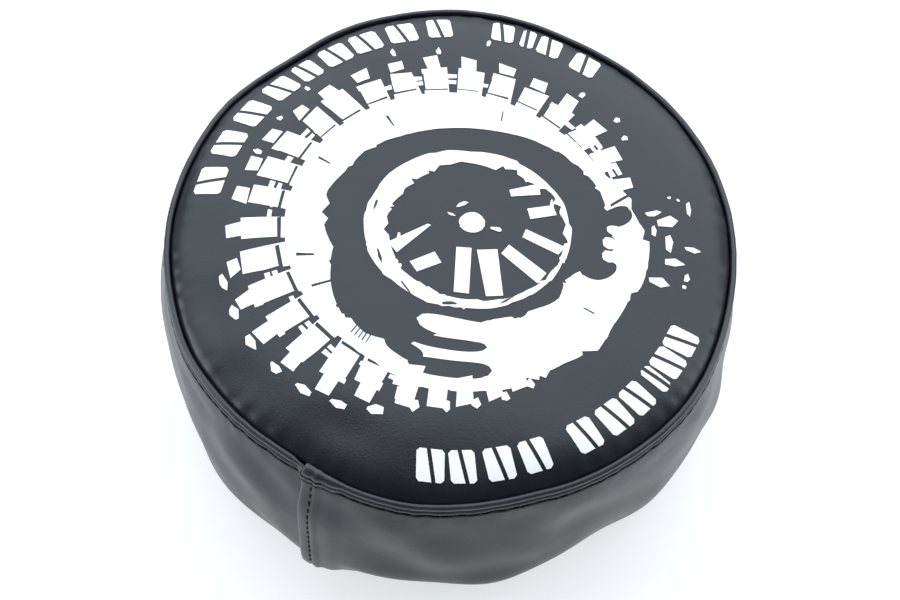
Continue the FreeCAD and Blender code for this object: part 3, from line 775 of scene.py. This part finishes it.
def make_stitching(stitching, shell, finishes):
    """Needle thread and bobbin thread of each seam, and the tack of the elastic."""
    common = (stitching, stitch_nodes(), finishes["thread"])
    half = THREAD / 2
    for side in ("needle", "bobbin"):
        row = f"face_seam_{side}"
        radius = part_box(f"{row}_thread")[1].x / MM - half
        sew_ring(row, stitching.face_stitches, seam_frame(radius, FACE_STITCH_Z), 0.0, common,
                 flip=side == "needle")
    sew_ring("topstitch_needle", stitching.top_stitches, band_seam(shell), half * 1.3, common)
    inner = seam_frame(SEAM_RADIUS - LEATHER - half, TOPSTITCH_Z)
    sew_ring("topstitch_bobbin", stitching.top_stitches, inner, 0.0, common, start=1.3, flip=True)
    hem = band_seam(shell, hem=True)
    sew_ring("hem_needle", stitching.hem_stitches, hem, half * 0.35, common)
    sew_ring("hem_bobbin", stitching.hem_stitches, hem, 2 * LEATHER + 0.3, common, start=1.6, flip=True)
    # the side lap's row runs down the wall
    lap = np.array([math.radians(LAP_ANGLE)])
    heights = np.linspace(LAP_HIGH.z + 1.4, LAP_LOW.z - 1.0, stitching.lap_stitches + 2)[1:-1]
    angle = np.full((len(heights), 1), lap[0])
    here, out, _ = band_frame(shell, angle, wall_profile(heights)[:, None], heights[:, None])
    here, out = here[:, 0], out[:, 0]
    down = unit(np.gradient(here, axis=0))
    proud = float(lap_offset(lap)[0])
    sew("lap_needle", here + out * (proud + half * 0.35), out, down, *common, length=LAP_STITCH)
    sew("lap_bobbin", here - out * (LEATHER + half), -out, down, *common)
    # bars across the lapped ends of the elastic
    first, run = math.radians(ELASTIC_START + ELASTIC_OVERLAP / 4), math.radians(ELASTIC_OVERLAP / 2)
    azimuth = first + run * np.arange(stitching.tack_bars) / (stitching.tack_bars - 1)
    radius = np.full((1, len(azimuth)), ELASTIC_HIGH.x - ELASTIC_WIDTH / 2)
    height = np.full_like(radius, CASING_HEIGHT / 2 + stitching.elastic_thickness / MM * 1.3)
    places = band_point(shell, azimuth[None], radius, height, hem=True)[0]
    across = np.stack([np.cos(azimuth), np.sin(azimuth), 0 * azimuth], -1)
    sew("elastic_tack", places, np.tile([0.0, 0.0, 1.0], (len(azimuth), 1)), across, *common,
        node="elastic_bar_tack", length=TACK_LENGTH)


# ---------------- the printed film

def around(centre, radii, azimuths):
    """Points at radii and azimuths in degrees about a centre."""
    azimuths = np.radians(azimuths)
    return np.stack([centre[0] + radii * np.cos(azimuths), centre[1] + radii * np.sin(azimuths)], -1)


def placed(shape, x, y, turn):
    """Flat shape turned by degrees about its origin and then moved."""
    c, s = math.cos(math.radians(turn)), math.sin(math.radians(turn))
    return np.stack([x + shape[:, 0] * c - shape[:, 1] * s, y + shape[:, 0] * s + shape[:, 1] * c], -1)


def torn(count, knots, depth, seed):
    """Uneven straight-sided variation round a closed outline, up to depth either way."""
    rng = np.random.default_rng(seed)
    places = np.sort(rng.uniform(0, 1, knots))
    return np.interp(np.arange(count) / count, places, rng.uniform(-depth, depth, knots), period=1)


def torn_oval(cx, cy, rx, ry, knots, depth, seed, count=360, tilt=0.0):
    turn = np.linspace(0, 2 * math.pi, count, endpoint=False)
    grow = torn(count, knots, depth, seed)
    return placed(np.stack([(rx + grow) * np.cos(turn), (ry + grow) * np.sin(turn)], -1), cx, cy, tilt)


def sweep(cx, cy, length, width, tilt):
    """Long brush sweep with round ends, a little bowed."""
    along = np.linspace(-1, 1, 24)
    half = width / 2 * np.sqrt(1 - along ** 4)
    bow = 0.04 * length * (along ** 2 - 0.5)
    x = np.concatenate([along, along[-2:0:-1]]) * length / 2
    y = np.concatenate([bow + half, (bow - half)[-2:0:-1]])
    return placed(np.stack([x, y], -1), cx, cy, tilt)


def blob(place, length, width, turn, rng, corners=5, rough=0.22):
    """Small rough polygon."""
    azimuth = np.sort(np.linspace(0, 360, corners, endpoint=False) + rng.uniform(-18, 18, corners))
    radii = 0.5 * rng.uniform(1 - rough, 1 + rough, corners)
    return placed(around((0, 0), radii, azimuth) * (length, width), *place, turn)


def block(centre, azimuth, inner, outer, low, high, lean, rng=None, rough=0.0):
    """Radial block: four corners, low and high across the radius, leaning as it goes out."""
    corners = np.array([(inner, low), (outer, low + lean), (outer, high + lean), (inner, high)])
    if rng is not None:
        corners = corners + rng.uniform(-rough, rough, (4, 2))
    return placed(corners, *centre, azimuth)


def inside(points, outline):
    """Which points lie in a closed outline."""
    x, y = points[:, 0][:, None], points[:, 1][:, None]
    x0, y0 = outline[:, 0], outline[:, 1]
    x1, y1 = np.roll(x0, -1), np.roll(y0, -1)
    crosses = (y0 > y) != (y1 > y)
    with np.errstate(divide="ignore", invalid="ignore"):
        at = x0 + (y - y0) * (x1 - x0) / (y1 - y0)
    return (crosses & (x < at)).sum(1) % 2 == 1


def subdivide(outline, step):
    """Outline with points no further apart than step."""
    runs = []
    for start, end in zip(outline, np.roll(outline, -1, 0)):
        count = max(1, math.ceil(np.linalg.norm(end - start) / step))
        runs.append(start + (end - start) * np.linspace(0, 1, count, endpoint=False)[:, None])
    return np.concatenate(runs)


def film_piece(node, layer, art, finishes, solids, holes=(), islands=()):
    """Flat stencil of solids, less holes, with islands in them, cut into triangles and laid on
    the crown."""
    filled, cut, added = ([subdivide(outline, 1.0) for outline in group]
                          for group in (solids, holes, islands))
    outlines = filled + cut + added

    def printed(points):
        keep = np.zeros(len(points), bool)
        for group, state in ((filled, True), (cut, False), (added, True)):
            for outline in group:
                keep[inside(points, outline)] = state
        return keep

    low, high = np.concatenate(filled).min(0), np.concatenate(filled).max(0)
    columns, rows = np.meshgrid(*(np.arange(low[k] + 0.5, high[k], 1.1) for k in (0, 1)))
    filler = np.stack([columns.ravel(), rows.ravel()], -1)
    points = [*outlines, filler[printed(filler)]]
    edges, start = [], 0
    for outline in outlines:
        index = np.arange(len(outline)) + start
        edges += zip(index.tolist(), np.roll(index, -1).tolist())
        start += len(outline)
    spots, _, faces, *_ = delaunay_2d_cdt([Vector(p) for p in np.concatenate(points)], edges, [], 0, 1e-5)
    spots = np.array([tuple(p) for p in spots])
    faces = np.array(faces)
    corner = spots[faces]
    area = np.cross(corner[:, 1] - corner[:, 0], corner[:, 2] - corner[:, 0])
    faces = faces[printed(corner.mean(1)) & (np.abs(area) > 1e-4)]
    used, index = np.unique(faces, return_inverse=True)
    spots = spots[used]
    height = face_height(spots[:, 0], spots[:, 1]) + art.film_thickness / MM + LAYER_RISE * layer
    piece = new_piece(node.replace("print_", "film_"), np.column_stack([spots, height]),
                      index.reshape(-1, 3).tolist())
    face_outwards(piece, upwards=True)
    thicken(piece, art.film_thickness * 1.5)
    piece.data.materials.append(finishes["film"])
    settle(piece, 50)
    finish_piece(piece, "print_film", node)


LAYER_RISE = 0.01  # between films, so that no two share a plane
FACE, TYRE, OVAL, HUB = (0, 0), (-1.0, 1.0), (3.1, 2.6), (3.5, 2.4)  # centres on the face


def lug_reach(azimuth):
    """How far out the printed tread blocks reach at an azimuth."""
    return float(np.interp(azimuth, (18, 30, 50, 75, 100, 135, 165, 190, 215, 240, 262, 300),
                           (37.5, 38, 40, 40.6, 41, 41, 42, 43, 43.4, 42.6, 38.6, 37.2)))


def draw_tread(art):
    """Tread blocks round the top and left, shorter ones below, scraps at the right."""
    rng = np.random.default_rng(art.seed)
    solids, holes = [], []
    for azimuth in np.arange(22, 262, 10.9):
        outer = lug_reach(azimuth)
        root = 32.4 + rng.uniform(-0.4, 0.5)
        middle = outer - rng.uniform(2.6, 3.4)
        lean = rng.uniform(-0.6, 0.8)
        line = float(np.interp(azimuth, (140, 190), (0.40, 0.75)))
        solids.append(block(TYRE, azimuth, root - 1.6, middle, -2.7, 2.2, lean, rng, 0.45))
        cap = middle + rng.choice((-0.4, 0.6))
        solids.append(block(TYRE, azimuth + 0.8, cap, outer, -2.0, 1.1, lean, rng, 0.4))
        # a dark line under the block's root and up one of its sides
        holes.append(block(TYRE, azimuth, root, root + line, -2.3, 2.7, 0.1, rng, 0.1))
        holes.append(block(TYRE, azimuth, root, middle - 1.4, 2.1, 2.1 + line, lean, rng, 0.1))
        # bars that bridge the groove to the next block
        for rise in (1.5, 2.9)[:rng.integers(0, 3)]:
            low = root + rise
            solids.append(block(TYRE, azimuth + 5.4, low, low + 0.9, -1.5, 1.4, 0.2, rng, 0.2))
    for azimuth in np.arange(263, 302, 8.4):
        outer = lug_reach(azimuth) + rng.uniform(-0.8, 0.6)
        solids.append(block(TYRE, azimuth, 32.6, outer, -1.9, 1.5, rng.uniform(-0.8, 0.4), rng, 0.4))
        solids.append(blob(around(TYRE, outer - 0.2, azimuth + 2), 2.4, 1.9, azimuth, rng))
    for azimuth in np.arange(200, 262, 9.2):
        place = around(TYRE, lug_reach(azimuth) + 1.5, azimuth)
        solids.append(blob(place, 1.8, 3.6, azimuth + rng.uniform(-15, 15), rng, 6))
    for azimuth, radius, length, width in (
            (13, 47.0, 1.2, 3.6), (9, 42.6, 4.6, 2.4), (3, 42.0, 2.2, 4.4), (1.5, 46.6, 3.2, 1.2),
            (-3, 42.8, 4.4, 1.5), (-6.5, 46.0, 1.2, 2.0), (-9, 45.8, 0.8, 0.9), (-10, 40.6, 4.6, 2.0),
            (16.5, 43.6, 0.8, 0.8), (15.6, 45.2, 0.7, 0.7), (12, 39.6, 3.4, 1.4), (6.5, 39.2, 1.2, 2.6)):
        turn = azimuth + rng.uniform(-8, 8)
        solids.append(blob(around(FACE, radius, azimuth), length, width, turn, rng, 5, 0.3))
    for azimuth, radius in ((159, 42.5), (147, 43.5), (135, 45.0), (110, 44.6), (98, 43.5), (85, 46.5),
                            (56, 42.5), (44, 43), (38, 41.5)):
        place = around(FACE, radius, azimuth)
        solids.append(blob(place, rng.uniform(1.2, 2.2), rng.uniform(0.9, 1.5), azimuth, rng))
    return solids, holes


def draw_sidewall(art):
    """White sidewall round a dark oval, broad at the lower right, with dark sweeps below."""
    rng = np.random.default_rng(art.seed + 1)
    turn = np.linspace(0, 360, 720, endpoint=False)
    reach = 31.7 + bumps(np.radians(turn), ((318, 38, 5.2), (0, 27, 5.2), (268, 20, 2.0)))
    rugged = 1 - np.exp(-((turn - 150) / 120) ** 4)
    ragged = rugged * torn(720, 90, 1.1, art.seed + 2) + torn(720, 110, 0.16, art.seed + 3)
    solids = [around(TYRE, reach + ragged, turn)]
    # the oval is cut short at the lower right, where the white is broadest
    middle = torn_oval(*OVAL, 28.2, 22.0, 60, 0.22, art.seed + 4, 540) - OVAL
    way = np.arctan2(middle[:, 1], middle[:, 0])
    tear = torn(540, 84, 0.03, art.seed + 12) * (1 - bumps(way, ((90, 62, 1.0),)))
    short = bumps(way, ((333, 13, -0.145), (311, 14, -0.03), (20, 9, -0.03)))
    holes = [OVAL + middle * (1 + tear + short)[:, None],
             torn_oval(-8.9, -8.4, 14.2, 16.6, 46, 0.6, art.seed + 5)]
    # notches at the right, where tread and sidewall almost part
    holes.append(torn_oval(31.6, 6.4, 3.4, 2.2, 14, 0.2, art.seed + 14, 90, 35))
    holes.append(torn_oval(28.2, -5.4, 3.6, 2.6, 14, 0.25, art.seed + 15, 90, 10))
    holes.append(block(FACE, 16.5, 31.5, 38.0, -0.3, 0.3, 2.6, rng, 0.1))
    holes.append(blob((37.4, 11.6), 3.0, 2.0, 60, rng, 7, 0.3))
    holes += [sweep(0.4, -24.2, 15.6, 2.5, -5), sweep(1.4, -29.4, 16.0, 3.6, -2),
              sweep(-7.5, -26.0, 8.5, 3.4, -32)]
    islands = [sweep(4.6, -21.0, 20.5, 4.2, -6),
               torn_oval(31.4, 3.4, 1.7, 1.0, 12, 0.15, art.seed + 13, 60, -10)]
    islands += [torn_oval(30.4, y, 1.5, 1.3, 10, 0.2, art.seed + 16, 60) for y in (0.4, -2.6)]
    holes += [block(FACE, 233.0 + 1.7 * k, 27.0, 29.6, -0.15, 0.15, 0.3, rng, 0.05) for k in range(5)]
    for azimuth, inner, outer, wide in (
            (228, 24.5, 27.6, 0.35), (222, 23.5, 28.0, 0.3), (120, 27.0, 30.0, 0.22), (152, 28.6, 31.4, 0.25),
            (196, 27.2, 30.6, 0.3), (210, 26.0, 29.8, 0.25), (74, 27.8, 30.2, 0.2), (331, 29.6, 32.0, 0.14)):
        holes.append(block(FACE, azimuth, inner, outer, -wide, wide, rng.uniform(-0.8, 0.8), rng, 0.12))
    return solids, holes, islands


def draw_rim(art):
    """Thick-and-thin ring with torn edges."""
    rng = np.random.default_rng(art.seed + 8)
    turn = np.linspace(0, 2 * math.pi, 600, endpoint=False)
    ragged = torn(600, 84, 0.9, art.seed + 7) * (0.35 + 0.65 * (0.5 + 0.5 * np.sin(turn)))
    holes = [np.stack([4.4 + (17.4 + ragged) * np.cos(turn), 0.7 + (15.4 + ragged) * np.sin(turn)], -1)]
    for azimuth, radius in ((205, 18.0), (232, 17.6), (262, 17.0), (300, 17.4), (340, 18.6), (168, 18.5)):
        length, width = rng.uniform(0.4, 0.9), rng.uniform(2.0, 4.6)
        turn = azimuth + rng.uniform(-12, 12)
        holes.append(blob(around((2.6, 1.0), radius, azimuth), length, width, turn, rng, 7))
    return [torn_oval(2.7, 1.2, 20.1, 17.9, 70, 0.28, art.seed + 6, 480)], holes


def draw_spokes(art):
    """Rough wedges that fan out below and to the right of the hub: place of the middle, length,
    width at the inner and outer end, and the way they point."""
    rng = np.random.default_rng(art.seed + 9)
    solids = []
    for x, y, length, narrow, wide, way in (
            (-8.2, -1.6, 8.8, 0.7, 3.0, 220), (-4.8, -7.2, 5.0, 2.4, 2.7, 210),
            (2.4, -8.4, 10.2, 3.3, 3.0, 271), (7.9, -8.4, 10.2, 4.0, 3.2, 281),
            (14.0, -5.8, 9.4, 2.6, 2.6, 323), (17.4, -0.6, 8.2, 2.2, 2.2, 337),
            (16.8, 6.2, 5.2, 2.4, 2.2, 16), (13.4, 10.6, 5.6, 1.8, 2.2, 14)):
        corners = np.array([(-length, -narrow), (length, -wide), (length, wide), (-length, narrow)]) / 2
        solids.append(placed(corners + rng.uniform(-0.22, 0.22, (4, 2)), x, y, way))
    for azimuth, radius in ((199, 14.6), (20, 16.4), (48, 15.0)):
        solids.append(blob(around((3.4, 2.5), radius, azimuth), 2.4, 0.9, azimuth + 70, rng))
    return [solids]


def draw_hub(art):
    """Round hub with scraps beside it."""
    rng = np.random.default_rng(art.seed + 10)
    solids = [torn_oval(*HUB, 2.5, 2.3, 16, 0.12, art.seed + 11, 60)]
    for azimuth, radius, length, width in ((118, 4.6, 2.6, 0.8), (348, 5.0, 0.9, 2.6), (160, 4.4, 0.5, 1.8)):
        solids.append(blob(around(HUB, radius, azimuth), length, width, azimuth + 90, rng, 6))
    return [solids]


def draw_marks(art, inner, outer, marks):
    """Row of plain blocks round the face, each split by a slanting gap."""
    solids, holes = [], []
    corner = 0.55
    for azimuth, width in marks:
        # the row runs further out where it passes the top
        out = 1.7 * math.exp(-((azimuth - 80) / 30) ** 2)
        near, far, half, lean = inner + out, outer + out, width / 2, 0.08 * width
        shape = np.array([(near + corner, -half), (far - corner, -half + lean), (far, -half + lean + corner),
                          (far, half + lean - corner), (far - corner, half + lean), (near + corner, half),
                          (near, half - corner), (near, -half + corner)])
        solids.append(placed(shape, *FACE, azimuth))
        low = -0.20 * width
        holes.append(block(FACE, azimuth, near - 1, far + 1, low, low + art.mark_gap / MM, 0.38 * width))
    return solids, holes


# Marks round the face: azimuth in degrees and width.
UPPER_MARKS = ((170, 6.4), (159, 6.2), (149, 6.2), (139, 6.0), (131, 4.6), (123, 5.6), (115, 5.8),
               (106, 5.8), (97, 5.0), (82, 4.6), (76, 2.8), (70.5, 4.8), (61, 5.6))
LOWER_MARKS = ((269, 5.2), (276, 4.8), (284, 5.2), (292, 5.0), (304, 5.0), (312, 5.2), (319, 4.6),
               (325.5, 2.4), (330.5, 4.8), (337, 5.0))


def make_print(art, finishes):
    """The seven pieces of film."""
    drawings = {
        "print_tread_lugs": draw_tread(art),
        "print_sidewall": draw_sidewall(art),
        "print_rim": draw_rim(art),
        "print_spokes": draw_spokes(art),
        "print_hub": draw_hub(art),
        "print_upper_marks": draw_marks(art, 46.2, 51.6, UPPER_MARKS),
        "print_lower_marks": draw_marks(art, 45.6, 51.6, LOWER_MARKS),
    }
    for layer, (node, drawing) in enumerate(drawings.items()):
        film_piece(node, layer, art, finishes, *drawing)


# ---------------- studio

FLOOR_REACH = 3000  # from the middle to the floor's edges
CAMERA_DISTANCE = 7.107 * (SEAM_RADIUS + 0.2)
CAMERA_ELEVATION = 1.0322  # in radians
CAMERA_TURNS = (("Y", -0.0012), ("X", -0.0283), ("Z", -0.0828))  # small turns off the aim, in order
AIM_HEIGHT = 46.2  # where the camera would look without them


def aim(thing, target):
    thing.rotation_euler = (Vector(target) - thing.location).to_track_quat("-Z", "Y").to_euler()


def add_softbox(name, place, target, size, power, colour):
    data = bpy.data.lights.new(name, "AREA")
    data.shape = "RECTANGLE"
    data.size, data.size_y = size
    data.energy = power
    data.color = colour
    lamp = bpy.data.objects.new(name, data)
    lamp.location = place
    bpy.context.scene.collection.objects.link(lamp)
    aim(lamp, target)


def make_stage(studio):
    """White sweep, soft lights and the camera."""
    corners = [(x * FLOOR_REACH, y * FLOOR_REACH, -0.05) for x, y in ((-1, -1), (1, -1), (1, 1), (-1, 1))]
    floor = new_piece("studio_floor", corners, [(0, 1, 2, 3)])
    finish = Finish("white_sweep", Specular_IOR_Level=0.1, Emission_Strength=studio.floor_glow)
    colour = studio.floor_colour
    grain = finish.noise(0.01)
    finish.feed(Base_Color=finish.shades(grain, colour, 0.49, 0.50), Roughness=0.8 + 0.05 * grain,
                Emission_Color=finish.shades(grain, colour, 0.995, 1))
    floor.data.materials.append(finish.material)

    world = bpy.data.worlds.new("soft_surroundings")
    world.use_nodes = True
    background = world.node_tree.nodes["Background"].inputs
    background["Color"].default_value = tuple(studio.surroundings_colour)
    background["Strength"].default_value = studio.surroundings
    scene = bpy.context.scene
    scene.world = world
    scene.view_settings.view_transform = "Standard"

    cool = tuple(studio.light_colour)[:3]
    add_softbox("back_softbox", (0.0, 0.78, 0.95), (0, 0, 0.04), (2.6, 1.9), studio.back_light, cool)
    add_softbox("left_softbox", (-0.85, -0.05, 0.35), (0, 0, 0.03), (0.4, 0.6), studio.side_light, cool)
    add_softbox("right_softbox", (0.85, 0.15, 0.45), (0, 0, 0.03), (0.4, 0.5), studio.side_light * 0.6, cool)

    camera = bpy.data.objects.new("camera", bpy.data.cameras.new("camera"))
    camera.data.lens = 80
    camera.data.sensor_width = 36
    camera.data.clip_start = 0.01
    level, rise = math.cos(CAMERA_ELEVATION), math.sin(CAMERA_ELEVATION)
    axes = np.array([[1, 0, 0], [0, rise, level], [0, level, -rise]])  # right, up, forwards
    for axis, turn in CAMERA_TURNS:
        axes = np.array(Matrix.Rotation(turn, 3, axis)) @ axes
    matrix = Matrix(np.stack([axes[0], axes[1], -axes[2]], 1)).to_4x4()
    matrix.translation = Vector((0, -level * CAMERA_DISTANCE, rise * CAMERA_DISTANCE + AIM_HEIGHT)) * MM
    camera.matrix_world = matrix
    scene.collection.objects.link(camera)
    scene.camera = camera


# ---------------- settings, operators and panel

def setting(kind, name, description, default, **limits):
    return kind(name=name, description=description, default=default, **limits)


def length_setting(name, description, default, **limits):
    return setting(bpy.props.FloatProperty, name, description, default, unit="LENGTH", subtype="DISTANCE",
                   precision=5, **limits)


def colour_setting(name, description, default):
    return setting(bpy.props.FloatVectorProperty, name, description, default, size=4, min=0, max=1,
                   subtype="COLOR")


def count_setting(name, description, default, **limits):
    return setting(bpy.props.IntProperty, name, description, default, **limits)


def strength_setting(name, description, default, **limits):
    return setting(bpy.props.FloatProperty, name, description, default, min=0, **limits)


class ShellSettings(bpy.types.PropertyGroup):
    leather_colour: colour_setting("Leatherette", "Colour of the coated side", (0.0080, 0.0100, 0.0135, 1))
    # colour of the highlights painted along folded edges
    highlight_colour: colour_setting("Painted highlight", "Colour of the painted highlights along folded edges", (0.05, 0.053, 0.058, 1))
    backing_colour: colour_setting("Backing", "Colour of the knitted side", (0.03, 0.03, 0.032, 1))
    grain_size: length_setting("Grain", "Size of the pebbles of the grain", 0.00042, min=0.0001)
    gather_height: length_setting("Gathers", "Height of the hem's folds", 0.0019, min=0, max=0.003)
    buckle_depth: length_setting("Buckles", "Depth of the wall's soft buckles", 0.00033, min=0, max=0.002)
    columns_round: count_setting("Columns", "Columns of faces round the cover", 480, min=240, max=500)


class StitchSettings(bpy.types.PropertyGroup):
    thread_colour: colour_setting("Thread", "Colour of the sewing thread", (0.005, 0.005, 0.006, 1))
    elastic_colour: colour_setting("Elastic", "Colour of the braided elastic", (0.02, 0.02, 0.021, 1))
    thread_thickness: length_setting("Thread", "Thickness of the thread", 1.25 * THREAD * MM,
                                     min=0.0001, max=0.0006)
    stitch_length: length_setting("Stitch", "Length between its holes", 0.0020, min=0.001, max=0.004)
    elastic_thickness: length_setting("Elastic", "Thickness of the elastic", 0.0008, min=0.0004, max=0.0012)
    face_stitches: count_setting("Face seam", "Stitches in the face seam", 138, min=40)
    top_stitches: count_setting("Topstitching", "Stitches below the rib", 141, min=40)
    hem_stitches: count_setting("Hem", "Stitches in the hem", 112, min=40)
    lap_stitches: count_setting("Side lap", "Stitches down the side lap", 14, min=4)
    tack_bars: count_setting("Bar tack", "Bars that tack the elastic's ends", 7, min=3)


class PrintSettings(bpy.types.PropertyGroup):
    film_colour: colour_setting("Film", "Colour of the printed film", (0.95, 0.95, 0.95, 1))
    film_thickness: length_setting("Film", "Thickness of the film", 0.00012, min=0.00005, max=0.0003)
    mark_gap: length_setting("Gap", "Width of the slanting gap in each mark", 0.0008, min=0.0003, max=0.002)
    seed: count_setting("Seed", "Changes the rough edges of the print", 41)


class StudioSettings(bpy.types.PropertyGroup):
    floor_colour: colour_setting("Floor", "Colour of the floor", (0.955, 0.978, 1.0, 1))
    light_colour: colour_setting("Lamps", "Colour of the softboxes", (0.885, 0.945, 1.0, 1))
    surroundings_colour: colour_setting("Surroundings", "Their colour", (0.97, 0.985, 1.0, 1))
    surroundings: strength_setting("Surroundings", "Strength of the soft surroundings", 0.12)
    floor_glow: strength_setting("Glow", "How strongly the sweep is lit from below", 0.70)
    back_light: strength_setting("Back light", "Power of the softbox behind", 42.0, unit="POWER")
    side_light: strength_setting("Side lights", "Power of the softboxes at the sides", 4.2, unit="POWER")


def finishes_of(scene):
    """The object's materials, made once and then reused."""
    makers = {
        "leatherette": (leatherette, scene.cover_shell, "black_leatherette"),
        "backing": (backing, scene.cover_shell, "woven_backing"),
        "film": (film_finish, scene.cover_print, "white_film"),
        "thread": (thread_finish, scene.cover_stitching, "bonded_thread"),
        "elastic": (elastic_finish, scene.cover_stitching, "braided_elastic"),
    }
    return {key: bpy.data.materials.get(name) or maker(settings)
            for key, (maker, settings, name) in makers.items()}


class COVER_OT_shell(bpy.types.Operator):
    """Makes the face panel, the side wall and the gathered hem"""
    bl_idname = "cover.shell"
    bl_label = "Sewn shell"

    def execute(self, context):
        finishes = finishes_of(context.scene)
        for make in (make_face, make_wall, make_hem):
            make(context.scene.cover_shell, finishes)
        return {"FINISHED"}


class COVER_OT_elastic(bpy.types.Operator):
    """Makes the elastic in the hem"""
    bl_idname = "cover.elastic"
    bl_label = "Elastic"

    def execute(self, context):
        scene = context.scene
        make_elastic(scene.cover_stitching, scene.cover_shell, finishes_of(scene))
        return {"FINISHED"}


class COVER_OT_stitching(bpy.types.Operator):
    """Sews every seam with needle and bobbin thread"""
    bl_idname = "cover.stitching"
    bl_label = "Stitching"

    def execute(self, context):
        scene = context.scene
        make_stitching(scene.cover_stitching, scene.cover_shell, finishes_of(scene))
        return {"FINISHED"}


class COVER_OT_print(bpy.types.Operator):
    """Presses the white film on the face"""
    bl_idname = "cover.print"
    bl_label = "Printed film"

    def execute(self, context):
        scene = context.scene
        make_print(scene.cover_print, finishes_of(scene))
        return {"FINISHED"}


class COVER_OT_stage(bpy.types.Operator):
    """Makes the floor, the lights and the camera"""
    bl_idname = "cover.stage"
    bl_label = "Studio"

    def execute(self, context):
        make_stage(context.scene.cover_studio)
        return {"FINISHED"}


class COVER_PT_panel(bpy.types.Panel):
    """Sizes and colours of the cover"""
    bl_label = "Spare Tyre Cover"
    bl_idname = "COVER_PT_panel"
    bl_space_type = "VIEW_3D"
    bl_region_type = "UI"
    bl_category = "Tyre Cover"

    def draw(self, context):
        for operators, settings in (
                ((COVER_OT_shell, COVER_OT_elastic), context.scene.cover_shell),
                ((COVER_OT_stitching,), context.scene.cover_stitching),
                ((COVER_OT_print,), context.scene.cover_print),
                ((COVER_OT_stage,), context.scene.cover_studio)):
            box = self.layout.box()
            for name in settings.__annotations__:
                box.prop(settings, name)
            for operator in operators:
                box.operator(operator.bl_idname)


GROUPS = {"cover_shell": ShellSettings, "cover_stitching": StitchSettings, "cover_print": PrintSettings,
          "cover_studio": StudioSettings}
OPERATORS = (COVER_OT_shell, COVER_OT_elastic, COVER_OT_stitching, COVER_OT_print, COVER_OT_stage)


def register():
    for name, group in GROUPS.items():
        bpy.utils.register_class(group)
        setattr(bpy.types.Scene, name, bpy.props.PointerProperty(type=group))
    for operator in OPERATORS:
        bpy.utils.register_class(operator)
    bpy.utils.register_class(COVER_PT_panel)


def unregister():
    bpy.utils.unregister_class(COVER_PT_panel)
    for operator in reversed(OPERATORS):
        bpy.utils.unregister_class(operator)
    for name, group in GROUPS.items():
        delattr(bpy.types.Scene, name)
        bpy.utils.unregister_class(group)


def main():
    register()
    bpy.ops.cover.shell()
    bpy.ops.cover.elastic()
    bpy.ops.cover.stitching()
    bpy.ops.cover.print()
    bpy.ops.cover.stage()
    bpy.context.view_layer.update()


if __name__ == "__main__":
    main()
